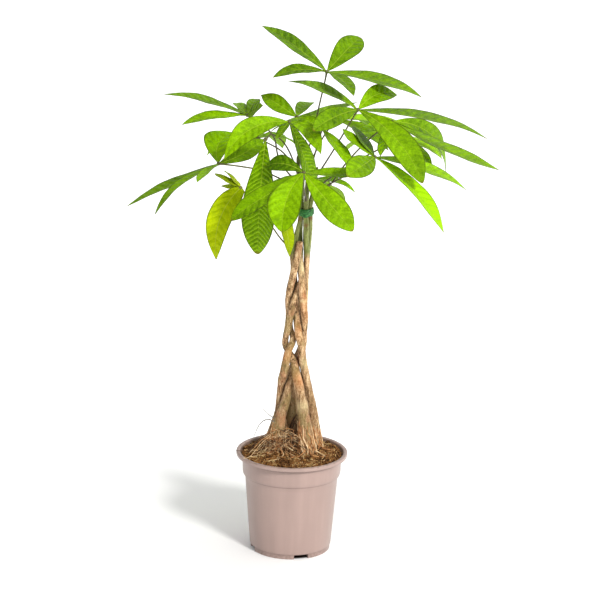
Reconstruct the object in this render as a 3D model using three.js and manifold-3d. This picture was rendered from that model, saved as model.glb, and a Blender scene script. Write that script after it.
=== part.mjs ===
// A potted money tree: five braided trunks in a nursery pot, with palmate leaves above a green tie.
// Millimetres, +Z up. The origin is the middle of the pot's underside, on the ground.
import * as THREE from 'three';
import { mergeVertices } from 'three/addons/utils/BufferGeometryUtils.js';
import { ConvexGeometry } from 'three/addons/geometries/ConvexGeometry.js';
import Module from 'manifold-3d';

const wasm = await Module();
wasm.setup();

// Driving dimensions
const GAP = 0.3;
const POT_HEIGHT = 171;
const RIM_RADIUS = 93.8;
const RIM_DEPTH = 6.6;
const FOOT_RADIUS = 67.5;
const WALL = 2.4;
const FLOOR_LIFT = 8;
const NOTCH_WIDTH = 25;
const NOTCH_HEIGHT = 7.5;
const NOTCH_COUNT = 4;
const NOTCH_TURN = 17;
const SOIL_EDGE_HEIGHT = 167;
const SOIL_MOUND = 4;
const ROUND = 32;
const TRUNK_FOOT = 130;
const BARK_TOP = 512;
const TRUNK_STEP = 13;
const BLADE_THICKNESS = 0.8;
const RIB_DEPTH = 1.2;
const FOLD = 8;
const WAVE_HEIGHT = 1.6;
const WAVES = 2.3;
const STALK_RADIUS = 1.7;
const HUB_RADIUS = 3.4;

const COLOURS = {
  pot: { color: 0xb99c8f, roughness: 0.45 },
  soil: { color: 0x5e4326, roughness: 1.0 },
  bark: { color: 0xa98a66, roughness: 0.85 },
  greenStem: { color: 0x7c8a4c, roughness: 0.6 },
  tie: { color: 0x1c7a45, roughness: 0.5 },
  leaf: { color: 0x6fae12, roughness: 0.4 },
  youngLeaf: { color: 0xa6c411, roughness: 0.45 },
};

// Trunk routes from the soil upwards: x, y, z and radius of the bark.
const TRUNKS = [
  [
    [-35, 22, 130, 10], [-35, 22, 158, 12.5], [-32, 22, 188, 11], [-27, 20, 213, 9.6],
    [-22, 18, 236, 8.3], [-21, 16, 254, 7.8], [-20, 14, 271, 7.4], [-19.5, 11.5, 283, 7.2],
    [-19, 4, 295, 7], [-17, -5, 307, 6.9], [-13, -11, 330, 6.8], [-9, -11, 350, 6.4],
    [-3.5, -7, 361, 5.7], [-2, 0, 371, 5.3], [-6, 5, 380, 5.5], [-8.5, 7, 388, 5.9], [-9, 7, 413, 6.3],
    [-10, 3, 435, 6.3], [-8.5, -2, 454, 6.2], [-4, -11, 480, 6.1], [0, -13, 502, 5.9],
    [4, -11, 522, 5.6], [6, -9, 537, 5.2],
  ],
  [
    [26, -11, 130, 10], [26, -11, 171, 12.6], [21, -10, 211, 11.8], [18.5, -10, 237, 10.3],
    [15, -10, 263, 9.2], [9, -9, 289, 8.5], [4, -6, 312, 7.8], [1, -2, 325, 7.2], [-4.5, 6, 337, 6.6],
    [-11.5, 8, 347, 6.1], [-14.8, 4.5, 359, 5.6], [-14, -2, 371, 5.2], [-12, -6, 382, 5.8],
    [-10, -8, 393, 6.3], [-8, -10, 408, 6.4], [-4, -10, 424, 6.3], [0, -7, 437, 6.3], [5, -3, 452, 6.1],
    [11, 2, 470, 5.8], [17, 4, 491, 5.3], [18, 2, 513, 5],
  ],
  [
    [-30, -4, 130, 10], [-30, -4, 167, 12.5], [-27, -3, 194, 11.5], [-22, -2, 224, 10],
    [-15, -1, 250, 8.5], [-8, 3, 276, 7.6], [-4, 7, 293, 7.4], [1, 11, 311, 7.2], [10.5, 11, 334, 6.7],
    [14.5, 6, 357, 6.3], [15.7, 0, 383, 6], [16.5, -6, 408, 5.9], [14.5, -11, 433, 6.1],
    [12, -14, 454, 6.2], [11, -10, 473, 6], [8, -5, 491, 5.7], [7, 1, 510, 5.3],
  ],
  [
    [-3, 36, 130, 10], [-3, 36, 154, 12], [-3, 32, 183, 12], [-2.2, 28, 216, 11.4],
    [-2, 26.5, 244, 10.2], [-3, 25.5, 271, 8.8], [-3.4, 26.6, 300, 7.8], [5, 26, 326, 6.8],
    [13, 23, 350, 6.6], [14, 17, 379, 6.4], [15, 14, 406, 6.3], [15, 12, 432, 6.2], [16, 12, 450, 6],
    [16.5, 14, 469, 5.6], [17.5, 15, 489, 5.2], [18.5, 13, 510, 5],
  ],
  [
    [40, 22, 130, 10], [40, 22, 160, 12], [38, 19, 189, 11], [35, 15, 220, 9.6], [31, 10, 249, 8.6],
    [25, 5, 278, 7.8], [20, 0, 305, 7.2], [15.5, -6, 331, 6.5], [13.5, -10, 351, 5.8],
    [9, -12, 372, 6.5], [5, -7, 393, 6.2], [3, 0, 413, 6.3], [3, 7, 433, 6.3], [0, 9, 450, 6.1],
    [-3, 8, 469, 5.9], [-3, 5, 491, 5.6], [-5, 2, 512, 5],
  ],
];

// Green shoots that go on from trunks two to five, through the tie and up into the leaves.
const SHOOTS = {
  2: [[18, 2, 513, 5], [16, -2, 538, 5], [16, -6, 560, 4.8], [15, -9, 582, 4.1], [15, -9, 596, 4.1],
    [16, -11, 620, 3.9], [17, -14, 650, 3.5], [18, -16, 672, 2.8]],
  3: [[7, 1, 510, 5.3], [6, 7, 534, 4.9], [6, 9, 556, 4.4], [7, 10, 579, 4], [7, 10, 596, 4],
    [8, 16, 625, 3.8], [10, 24, 660, 3.5], [12, 30, 700, 2.8]],
  4: [[18.5, 13, 510, 5], [20.5, 9, 535, 4.9], [22, 4, 558, 4.5], [22, 0, 581, 4], [22, 0, 596, 4],
    [26, 3, 618, 3.8], [30, 6, 645, 3.2], [32, 8, 660, 2.8]],
  5: [[-5, 2, 512, 5], [-1.5, -1, 536, 4.3], [3, -2, 559, 4], [8, -3, 581, 3.8], [8, -3, 596, 3.8],
    [5, -4, 620, 3.7], [2, -5, 650, 3.4], [0, -6, 682, 2.8]],
};

// Leaves. "from" is the shoot and the height where the stalk leaves it, "stalk" the stalk's further
// points, the last of them the hub where the leaflets meet. Each leaflet is: heading round +Z from +X,
// rise above the level, length, width, roll round its midrib, arch of the midrib, sideways bow, and its
// outline where that isn't pointed.
const LEAVES = {
  leaf_top: {
    from: [3, 672],
    stalk: [[22, 16, 705], [34, 13, 766], [41, 15, 799], [44, 13, 817]],
    leaflets: [
      [160, 31, 133, 40, -13, 5, 2],
      [205, -1, 96, 31, -19, 7, -1],
      [52, 28, 101, 43, 29, 5, -1, 'blunt'],
      [-7, -11, 159, 46, 11, 6, -1],
      [-63, -12, 98, 31, -6, 6, 1],
    ],
  },
  leaf_upper_right: {
    from: [2, 628],
    stalk: [[34, -19, 655], [58, -27, 697], [95, -40, 766]],
    leaflets: [
      [152, 15, 133, 40, -2, 8, 0],
      [-130, -8, 113, 36, -44, 7, -2, 'blunt'],
      [43, 10, 90, 33, 46, 8, 9],
      [5, -11, 216, 60, 3, 7, -1],
      [-44, -33, 172, 49, 27, 14, 9, 'blunt'],
    ],
  },
  leaf_far_right: {
    from: [4, 606],
    stalk: [[52, 20, 625], [81, 35, 663], [117, 50, 699], [154, 60, 728]],
    leaflets: [
      [-6, -22, 194, 54, 5, -6, -5],
      [36, -38, 151, 44, 52, 24, 11],
      [-137, -5, 74, 26, -17, 0, 3],
      [-104, -26, 92, 30, 31, 1, 3],
    ],
  },
  leaf_right: {
    from: [4, 613],
    stalk: [[50, -28, 638], [80, -48, 660], [108, -67, 681], [123, -90, 700]],
    leaflets: [
      [-28, -40, 164, 47, 0, 11, 1],
      [-119, -8, 93, 43, -35, 4, 2, 'blunt'],
      [113, 22, 94, 31, 26, -1, 3],
      [11, -19, 161, 47, 13, 7, -1],
      [136, 27, 81, 27, 4, -2, 4],
    ],
  },
  leaf_front: {
    from: [2, 606],
    stalk: [[11, -60, 637], [10, -120, 679]],
    leaflets: [
      [158, 4, 66, 30, -53, 6, -6, 'blunt'],
      [-161, -29, 137, 41, -30, 5, 4, 'blunt'],
      [-115, -46, 110, 58, -9, 9, -8, 'blunt'],
      [-37, -38, 126, 46, 37, 6, -3, 'blunt'],
      [26, -3, 114, 35, 16, -2, -5],
    ],
  },
  leaf_hanging: {
    from: [5, 630],
    stalk: [[-5, -22, 670], [-22, -40, 708], [-42, -60, 727], [-52, -70, 721]],
    leaflets: [
      [-116, -83, 185, 59, -9, 10, 1, 'blunt'],
    ],
  },
  leaf_left_front: {
    from: [2, 660],
    stalk: [[7, -33, 704], [-2, -48, 729], [-15, -60, 748]],
    leaflets: [
      [-154, -23, 124, 38, -47, 13, -15],
      [-49, -25, 87, 29, 21, 9, 7],
      [-123, -30, 41, 18, 4, 1, 1],
      [33, -65, 130, 39, 66, 4, -3],
    ],
  },
  leaf_upper_middle: {
    from: [3, 650],
    stalk: [[2, 20, 695], [-3, 20, 740]],
    leaflets: [
      [153, 25, 74, 29, -46, 4, 1],
      [74, 7, 84, 28, -1, 5, 0],
      [31, 8, 117, 36, -3, -3, -2],
      [-79, -14, 62, 24, 4, 3, -2],
    ],
  },
  leaf_far_left: {
    from: [5, 610],
    stalk: [[-15, -4, 634], [-37, -6, 646], [-60, -8, 656], [-94, -14, 663], [-129, -20, 668]],
    leaflets: [
      [180, -26, 166, 48, -4, 0, 2],
      [-149, -29, 133, 40, 12, 8, 0],
      [-114, -10, 78, 27, 17, 2, 1],
      [70, 25, 88, 60, 6, 6, 15, 'blunt'],
      [43, 17, 103, 31, 41, 2, -7],
    ],
  },
  leaf_upper_left: {
    from: [3, 632],
    stalk: [[-12, 25, 641], [-32, 37, 668], [-40, 45, 699], [-61, 60, 719], [-85, 70, 731]],
    leaflets: [
      [176, 13, 143, 42, -3, 5, 1],
      [-155, -3, 117, 36, -10, 5, 0],
      [109, 9, 64, 23, 0, 2, 1, 'blunt'],
      [78, 16, 64, 23, 0, 3, -1, 'blunt'],
      [-62, 27, 63, 23, 64, 1, -2],
    ],
  },
  leaf_low_left: {
    young: true,
    from: [5, 516],
    stalk: [[-27, 0, 541], [-38, -3, 557], [-69, -2, 595], [-93, 8, 622]],
    leaflets: [
      [-133, -64, 125, 44, -24, 10, -13, 'square'],
      [129, -5, 52, 20, -11, -1, 2],
      [132, 12, 68, 24, 7, -1, 2],
      [111, 10, 76, 26, 34, -1, 2],
    ],
  },
  leaf_middle: {
    from: [2, 645],
    stalk: [[27, -19, 685], [38, -30, 731]],
    leaflets: [
      [-45, -37, 87, 29, 0, 4, -1],
      [67, 19, 57, 22, 6, 2, -2],
      [151, 21, 43, 24, -34, 2, 1],
    ],
  },
  leaf_low_small: {
    young: true,
    from: [5, 521],
    stalk: [[-15, -6, 542], [-20, -12, 564], [-26, -10, 590]],
    leaflets: [
      [-32, -76, 76, 25, 26, 3, 2, 'square'],
      [128, -17, 46, 26, -55, 2, 2],
      [111, 14, 66, 27, -15, 3, 2],
      [79, 6, 72, 25, 3, 3, -2],
    ],
  },
  leaf_back_upper: {
    from: [3, 640],
    stalk: [[20, 50, 655], [39, 90, 688], [61, 130, 714]],
    leaflets: [
      [15, -12, 150, 44, 8, 12, 0],
      [60, -18, 160, 46, 0, 14, 0],
      [105, -22, 150, 44, 0, 14, 0],
      [150, -15, 130, 40, -8, 10, 0],
      [-30, -20, 110, 36, 8, 8, 0],
    ],
  },
  leaf_back_left: {
    from: [3, 645],
    stalk: [[-8, 50, 655], [-30, 80, 671], [-68, 120, 682]],
    leaflets: [
      [70, -18, 125, 40, 0, 12, 0],
      [105, -24, 150, 46, 0, 14, 0],
      [145, -22, 115, 42, -5, 12, 0],
      [190, -15, 85, 34, -8, 8, 0],
      [30, -12, 75, 32, 5, 8, 0],
    ],
  },
  leaf_back_low: {
    from: [3, 603],
    stalk: [[16, 50, 615], [21, 100, 617]],
    leaflets: [
      [35, -35, 90, 38, 5, 10, 0],
      [75, -32, 110, 44, 0, 12, 0],
      [120, -30, 115, 44, 0, 12, 0],
      [165, -20, 100, 38, -5, 10, 0],
      [-15, -10, 80, 32, 0, 8, 0],
    ],
  },
  leaf_back_right: {
    from: [4, 620],
    stalk: [[50, 45, 630], [87, 90, 646], [165, 150, 677]],
    leaflets: [
      [0, -20, 85, 34, 10, 8, 0],
      [40, -22, 115, 42, 5, 12, 0],
      [85, -22, 150, 46, 0, 14, 0],
      [130, -18, 140, 42, -5, 12, 0],
      [-40, -22, 85, 30, 8, 6, 0],
    ],
  },
};

// A closed body from rings that all have the same number of points, each running anticlockwise
// as seen from the next ring. Columns in "flipped" take the other diagonal.
function skin(rings, flipped = []) {
  const count = rings[0].length;
  const positions = rings.flat().flatMap((point) => [point.x, point.y, point.z]);
  const triangles = [];
  const at = (ring, column) => ring * count + (column % count);
  for (let ring = 0; ring < rings.length - 1; ring += 1) {
    for (let column = 0; column < count; column += 1) {
      const a = at(ring, column);
      const b = at(ring, column + 1);
      const c = at(ring + 1, column + 1);
      const d = at(ring + 1, column);
      if (flipped.includes(column)) triangles.push(a, b, d, b, c, d);
      else triangles.push(a, b, c, a, c, d);
    }
  }
  const last = rings.length - 1;
  for (let column = 1; column < count - 1; column += 1) {
    triangles.push(at(0, 0), at(0, column + 1), at(0, column));
    triangles.push(at(last, 0), at(last, column), at(last, column + 1));
  }
  const geometry = new THREE.BufferGeometry();
  geometry.setAttribute('position', new THREE.Float32BufferAttribute(positions, 3));
  geometry.setIndex(triangles);
  return geometry;
}

function solidOf(geometry) {
  const bare = geometry.clone();
  bare.deleteAttribute('normal');
  bare.deleteAttribute('uv');
  const merged = mergeVertices(bare, 1e-4);
  const mesh = new wasm.Mesh({
    numProp: 3,
    vertProperties: new Float32Array(merged.attributes.position.array),
    triVerts: new Uint32Array(merged.index.array),
  });
  return new wasm.Manifold(mesh);
}

function geometryOf(solid) {
  const mesh = solid.getMesh();
  const geometry = new THREE.BufferGeometry();
  geometry.setAttribute('position', new THREE.Float32BufferAttribute(mesh.vertProperties, 3));
  geometry.setIndex(Array.from(mesh.triVerts));
  return geometry;
}

function named(name, geometry, look) {
  geometry.computeVertexNormals();
  const mesh = new THREE.Mesh(geometry, new THREE.MeshStandardMaterial({ metalness: 0, ...look }));
  mesh.name = name;
  return mesh;
}

// Where a route passes a height: its points are joined by a smooth cubic in z.
function routeAt(route, z) {
  const last = route.length - 1;
  let index = 0;
  while (index < last - 1 && z > route[index + 1][2]) index += 1;
  const slope = (point, column) => {
    const before = route[Math.max(point - 1, 0)];
    const after = route[Math.min(point + 1, last)];
    return (after[column] - before[column]) / (after[2] - before[2]);
  };
  const start = route[index];
  const end = route[index + 1];
  const span = end[2] - start[2];
  const t = (z - start[2]) / span;
  const value = (column) => {
    const rise = start[column] * (2 * t ** 3 - 3 * t ** 2 + 1) + end[column] * (3 * t ** 2 - 2 * t ** 3);
    const leave = slope(index, column) * (t ** 3 - 2 * t ** 2 + t);
    const arrive = slope(index + 1, column) * (t ** 3 - t ** 2);
    return rise + (leave + arrive) * span;
  };
  return { x: value(0), y: value(1), radius: value(3) };
}

// A stem as a stack of level rings. Near the soil its section is fluted by its roots.
function stem(route, from, to, { sides = 8, step = 18, grow = 0, flutes = 0 } = {}) {
  const levels = Math.ceil((to - from) / step);
  const rings = [];
  for (let level = 0; level <= levels; level += 1) {
    const z = from + ((to - from) * level) / levels;
    const centre = routeAt(route, z);
    const ring = [];
    const nearSoil = THREE.MathUtils.smoothstep(260 - z, 0, 100) * THREE.MathUtils.smoothstep(z, 132, 150);
    const depth = flutes * nearSoil;
    for (let side = 0; side < sides; side += 1) {
      const angle = (2 * Math.PI * side) / sides;
      const radius = centre.radius * (1 - depth * (side % 2)) + grow;
      const x = centre.x + radius * Math.cos(angle);
      const y = centre.y + radius * Math.sin(angle);
      ring.push(new THREE.Vector3(x, y, z));
    }
    rings.push(ring);
  }
  return skin(rings);
}

// A stalk: a round section carried along a curve.
function stalk(points, radius, sides = 5, steps = 6) {
  const curve = new THREE.CatmullRomCurve3(points, false, 'centripetal');
  const frames = curve.computeFrenetFrames(steps, false);
  const rings = [];
  for (let step = 0; step <= steps; step += 1) {
    const centre = curve.getPointAt(step / steps);
    const ring = [];
    for (let side = 0; side < sides; side += 1) {
      const angle = (2 * Math.PI * side) / sides;
      const point = centre.clone();
      point.addScaledVector(frames.normals[step], radius * Math.cos(angle));
      point.addScaledVector(frames.binormals[step], radius * Math.sin(angle));
      ring.push(point);
    }
    rings.push(ring);
  }
  return skin(rings);
}

// How fast a blade widens from the hub, and how it narrows to its tip: the lower, the fuller.
const OUTLINES = { pointed: [0.95, 0.7], blunt: [0.95, 0.42], square: [0.4, 0.6] };
const BLADE_ROWS = [0, 0.14, 0.32, 0.5, 0.68, 0.85, 1];

// Share of a leaflet's greatest half width at the share t of its length.
function bladeShare(t, [base, tip]) {
  const widest = base / (base + tip);
  return (t / widest) ** base * ((1 - t) / (1 - widest)) ** tip * (1 - 0.6 * t ** 8);
}

function leaflet(hub, [heading, rise, long, wide, roll, arch, bow, outline = 'pointed'], turn) {
  const angles = [heading, rise, roll, FOLD].map(THREE.MathUtils.degToRad);
  const [headingAngle, riseAngle, rollAngle, foldAngle] = angles;
  const ahead = new THREE.Vector3(
    Math.cos(riseAngle) * Math.cos(headingAngle),
    Math.cos(riseAngle) * Math.sin(headingAngle),
    Math.sin(riseAngle),
  );
  const level = new THREE.Vector3(-Math.sin(headingAngle), Math.cos(headingAngle), 0);
  const side = level.clone().applyAxisAngle(ahead, rollAngle);
  const up = new THREE.Vector3().crossVectors(ahead, side);
  const rings = BLADE_ROWS.map((t) => {
    const hump = 4 * t * (1 - t);
    const middle = hub.clone().addScaledVector(ahead, long * t);
    middle.addScaledVector(up, arch * hump).addScaledVector(side, bow * hump);
    const half = Math.max((wide / 2) * bladeShare(t, OUTLINES[outline]), t < 0.5 ? 1.3 : 0.5);
    const place = (across, height) => {
      const point = middle.clone().addScaledVector(side, across);
      return point.addScaledVector(up, height);
    };
    const lift = half * Math.sin(foldAngle);
    const wave = WAVE_HEIGHT * Math.sin(Math.PI * t);
    const leftLift = lift + wave * Math.sin(2 * Math.PI * WAVES * t + turn);
    const rightLift = lift + wave * Math.cos(2 * Math.PI * WAVES * t + turn);
    const reach = half * Math.cos(foldAngle);
    const thick = BLADE_THICKNESS / 2;
    return [
      place(0, -thick - RIB_DEPTH * (1 - t)),
      place(reach, leftLift - thick),
      place(reach, leftLift + thick),
      place(0, thick),
      place(-reach, rightLift + thick),
      place(-reach, rightLift - thick),
    ];
  });
  return skin(rings, [2, 5]);
}

function leafSolid({ from: [shoot, height], stalk: points, leaflets }) {
  const start = routeAt(SHOOTS[shoot], height);
  const path = points.map((point) => new THREE.Vector3(...point));
  path.unshift(new THREE.Vector3(start.x, start.y, height));
  const hub = path[path.length - 1];
  const knot = new THREE.IcosahedronGeometry(HUB_RADIUS, 0).translate(hub.x, hub.y, hub.z);
  let solid = solidOf(stalk(path, STALK_RADIUS)).add(solidOf(knot));
  leaflets.forEach((row, index) => {
    solid = solid.add(solidOf(leaflet(hub, row, index)));
  });
  const top = SHOOTS[shoot].at(-1)[2];
  return solid.subtract(solidOf(stem(SHOOTS[shoot], BARK_TOP, top, { grow: GAP })));
}

// The pot's wall, lip and raised floor, turned round the axis.
function potGeometry() {
  const bodyTop = 125;
  const collarFoot = 137;
  const lipFoot = POT_HEIGHT - RIM_DEPTH;
  const dishRadius = 42;
  const outside = [
    [0, 0], [dishRadius, 0], [dishRadius + 4, FLOOR_LIFT], [FOOT_RADIUS - 7.5, FLOOR_LIFT],
    [FOOT_RADIUS - 5.5, 0], [FOOT_RADIUS - 1, 0], [FOOT_RADIUS, 1.5], [FOOT_RADIUS + 0.3, FLOOR_LIFT],
    [FOOT_RADIUS + 1, FLOOR_LIFT + 1.5], [78, bodyTop], [80, bodyTop + 6.4], [81.4, bodyTop + 7.2],
    [82.7, collarFoot], [83.6, lipFoot],
    [RIM_RADIUS - 1, lipFoot], [RIM_RADIUS, lipFoot + 1.2], [RIM_RADIUS, POT_HEIGHT - 1.4],
    [RIM_RADIUS - 1.4, POT_HEIGHT], [88, POT_HEIGHT], [86.6, POT_HEIGHT - 1.4],
  ];
  const profile = [...outside, ...insideProfile(0)];
  const points = profile.map(([radius, z]) => new THREE.Vector2(radius, z));
  return new THREE.LatheGeometry(points, ROUND).rotateX(Math.PI / 2);
}

// The pot's inner wall and floor from the lip to the axis, drawn in by a clearance.
function insideProfile(clearance) {
  const wall = [
    [82, 160], [80.4, 139], [75.4, 124], [FOOT_RADIUS - 1.6, FLOOR_LIFT + WALL + 2],
    [FOOT_RADIUS - 3.4, FLOOR_LIFT + WALL], [46.9, FLOOR_LIFT + WALL], [43.4, WALL], [0, WALL],
  ];
  return wall.map(([radius, z]) => [Math.max(radius - clearance, 0), z + (z < 20 ? clearance : 0)]);
}

function potSolid() {
  let solid = solidOf(potGeometry());
  for (let notch = 0; notch < NOTCH_COUNT; notch += 1) {
    const slot = new THREE.BoxGeometry(NOTCH_WIDTH, 16, 2 * NOTCH_HEIGHT);
    slot.translate(0, -FOOT_RADIUS, 0);
    slot.rotateZ(THREE.MathUtils.degToRad(NOTCH_TURN + (360 * notch) / NOTCH_COUNT));
    solid = solid.subtract(solidOf(slot));
  }
  return solid;
}

// The compost fills the pot. Its top is a low mound with lumps, and each trunk stands in a plain hole.
function soilSolid() {
  const rings = [];
  const ringOf = (radius, height) => {
    const ring = [];
    for (let segment = 0; segment < ROUND; segment += 1) {
      const angle = (2 * Math.PI * segment) / ROUND;
      ring.push(new THREE.Vector3(radius * Math.cos(angle), radius * Math.sin(angle), height(angle)));
    }
    return ring;
  };
  const wall = insideProfile(GAP).reverse();
  wall.slice(1).forEach(([radius, z]) => rings.push(ringOf(radius, () => z)));
  rings.push(ringOf(84, () => SOIL_EDGE_HEIGHT - 2));
  const topRadii = [78, 66, 53, 41, 28, 14];
  for (const radius of topRadii) {
    const mound = SOIL_MOUND * (1 - (radius / 80) ** 2);
    rings.push(ringOf(radius, (angle) => {
      const lump = 1.6 * Math.sin(5 * angle + radius) + 1.2 * Math.cos(9 * angle - radius / 3);
      return SOIL_EDGE_HEIGHT + mound + lump * (radius / 74);
    }));
  }
  let solid = solidOf(skin(rings));
  TRUNKS.forEach((route) => {
    const hole = stem(route, TRUNK_FOOT - GAP, 200, { step: TRUNK_STEP, grow: GAP, flutes: 0.2 });
    solid = solid.subtract(solidOf(hole));
  });
  return solid;
}

// The tie is a band that runs taut round the four shoots.
function tieSolid() {
  const low = 581;
  const high = 592;
  const hull = (clearance, bottom, top) => {
    const points = [];
    for (const route of Object.values(SHOOTS)) {
      for (const z of [bottom, top]) {
        const centre = routeAt(route, (low + high) / 2);
        for (let side = 0; side < 14; side += 1) {
          const angle = (2 * Math.PI * side) / 14;
          const reach = centre.radius + clearance;
          const x = centre.x + reach * Math.cos(angle);
          const y = centre.y + reach * Math.sin(angle);
          points.push(new THREE.Vector3(x, y, z));
        }
      }
    }
    return solidOf(new ConvexGeometry(points));
  };
  return hull(2.2, low, high).subtract(hull(0.8, low - 1, high + 1));
}

const plant = new THREE.Group();
plant.name = 'money_tree';
plant.add(named('pot', geometryOf(potSolid()), COLOURS.pot));
plant.add(named('soil', geometryOf(soilSolid()), COLOURS.soil));
TRUNKS.forEach((route, index) => {
  const top = index === 0 ? route.at(-1)[2] : BARK_TOP;
  const trunk = stem(route, TRUNK_FOOT, top, { step: TRUNK_STEP, flutes: 0.2 });
  plant.add(named(`trunk_${index + 1}`, trunk, COLOURS.bark));
});
for (const [number, route] of Object.entries(SHOOTS)) {
  const shoot = stem(route, BARK_TOP + GAP, route.at(-1)[2]);
  plant.add(named(`shoot_${number}`, shoot, COLOURS.greenStem));
}
plant.add(named('tie', geometryOf(tieSolid()), COLOURS.tie));
for (const [name, leaf] of Object.entries(LEAVES)) {
  plant.add(named(name, geometryOf(leafSolid(leaf)), leaf.young ? COLOURS.youngLeaf : COLOURS.leaf));
}

export default plant;
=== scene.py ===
import bpy
import numpy as np
from bpy.props import FloatProperty, FloatVectorProperty, IntProperty, PointerProperty
from math import radians
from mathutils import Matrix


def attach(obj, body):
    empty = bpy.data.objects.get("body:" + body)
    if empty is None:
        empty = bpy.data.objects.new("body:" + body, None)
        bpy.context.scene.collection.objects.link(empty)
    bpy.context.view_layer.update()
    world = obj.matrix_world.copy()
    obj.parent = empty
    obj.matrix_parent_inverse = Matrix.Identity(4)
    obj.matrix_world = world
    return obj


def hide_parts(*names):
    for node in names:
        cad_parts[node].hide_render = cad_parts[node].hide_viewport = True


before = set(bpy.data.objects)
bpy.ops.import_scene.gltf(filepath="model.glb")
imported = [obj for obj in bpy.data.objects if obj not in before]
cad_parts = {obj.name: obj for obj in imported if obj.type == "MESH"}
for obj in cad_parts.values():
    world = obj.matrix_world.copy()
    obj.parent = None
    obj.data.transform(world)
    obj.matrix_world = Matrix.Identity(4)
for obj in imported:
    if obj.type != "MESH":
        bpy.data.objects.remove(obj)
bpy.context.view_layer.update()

bl_info = {
    "name": "Potted money tree",
    "version": (1, 0, 0),
    "blender": (4, 5, 0),
    "location": "3D View > Sidebar > Money tree",
    "description": "Builds the looks of a braided money tree in its nursery pot",
    "category": "Add Mesh",
}

MM = 0.001

# Sizes and heights over the ground, in millimetres.
SOIL = 165
ROOT_END = 166
COMPOST_RADIUS = 84
COMPOST_EDGE = 166.6
COMPOST_MOUND = 4.4
CRUMB_REACH = 82
FIBRE_REACH = 79
FOOT_RADIUS = 67
NOTCH_WIDTH = 25
NOTCH_HEIGHT = 7.6
TIE_HEIGHT = 586.5
HUB_RADIUS = 3.2
STEM_ROW = 1.6

# Columns of the surfaces round their axes, and points along their paths.
BLADE_COLUMNS = 19
STEM_COLUMNS = 40
TIE_COLUMNS = 160
COMPOST_COLUMNS = 220
COMPOST_RINGS = 96
STALK_STEPS = 46
ROOT_STEPS = 26

# Seeds of the draws. A stem's own number is added to its seeds.
STEM_SEED, SOFT_SEED, ROUGH_SEED = 40, 60, 80
COMPOST_TOP_SEED, SCATTER_SEED, ROOT_SEED = 7, 11, 23

# The view: places in metres, and the camera's turn round the level axis and round its own line of sight.
CAMERA_PLACE = (0.00835, -4.006, 1.561)
CAMERA_LENS, CAMERA_SENSOR = 150.4, 36
CAMERA_PITCH, CAMERA_LEAN = radians(74.3), radians(1.2)
LAMP_AIM = (0, 0, 0.45)
FLOOR_REACH = 30

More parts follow.
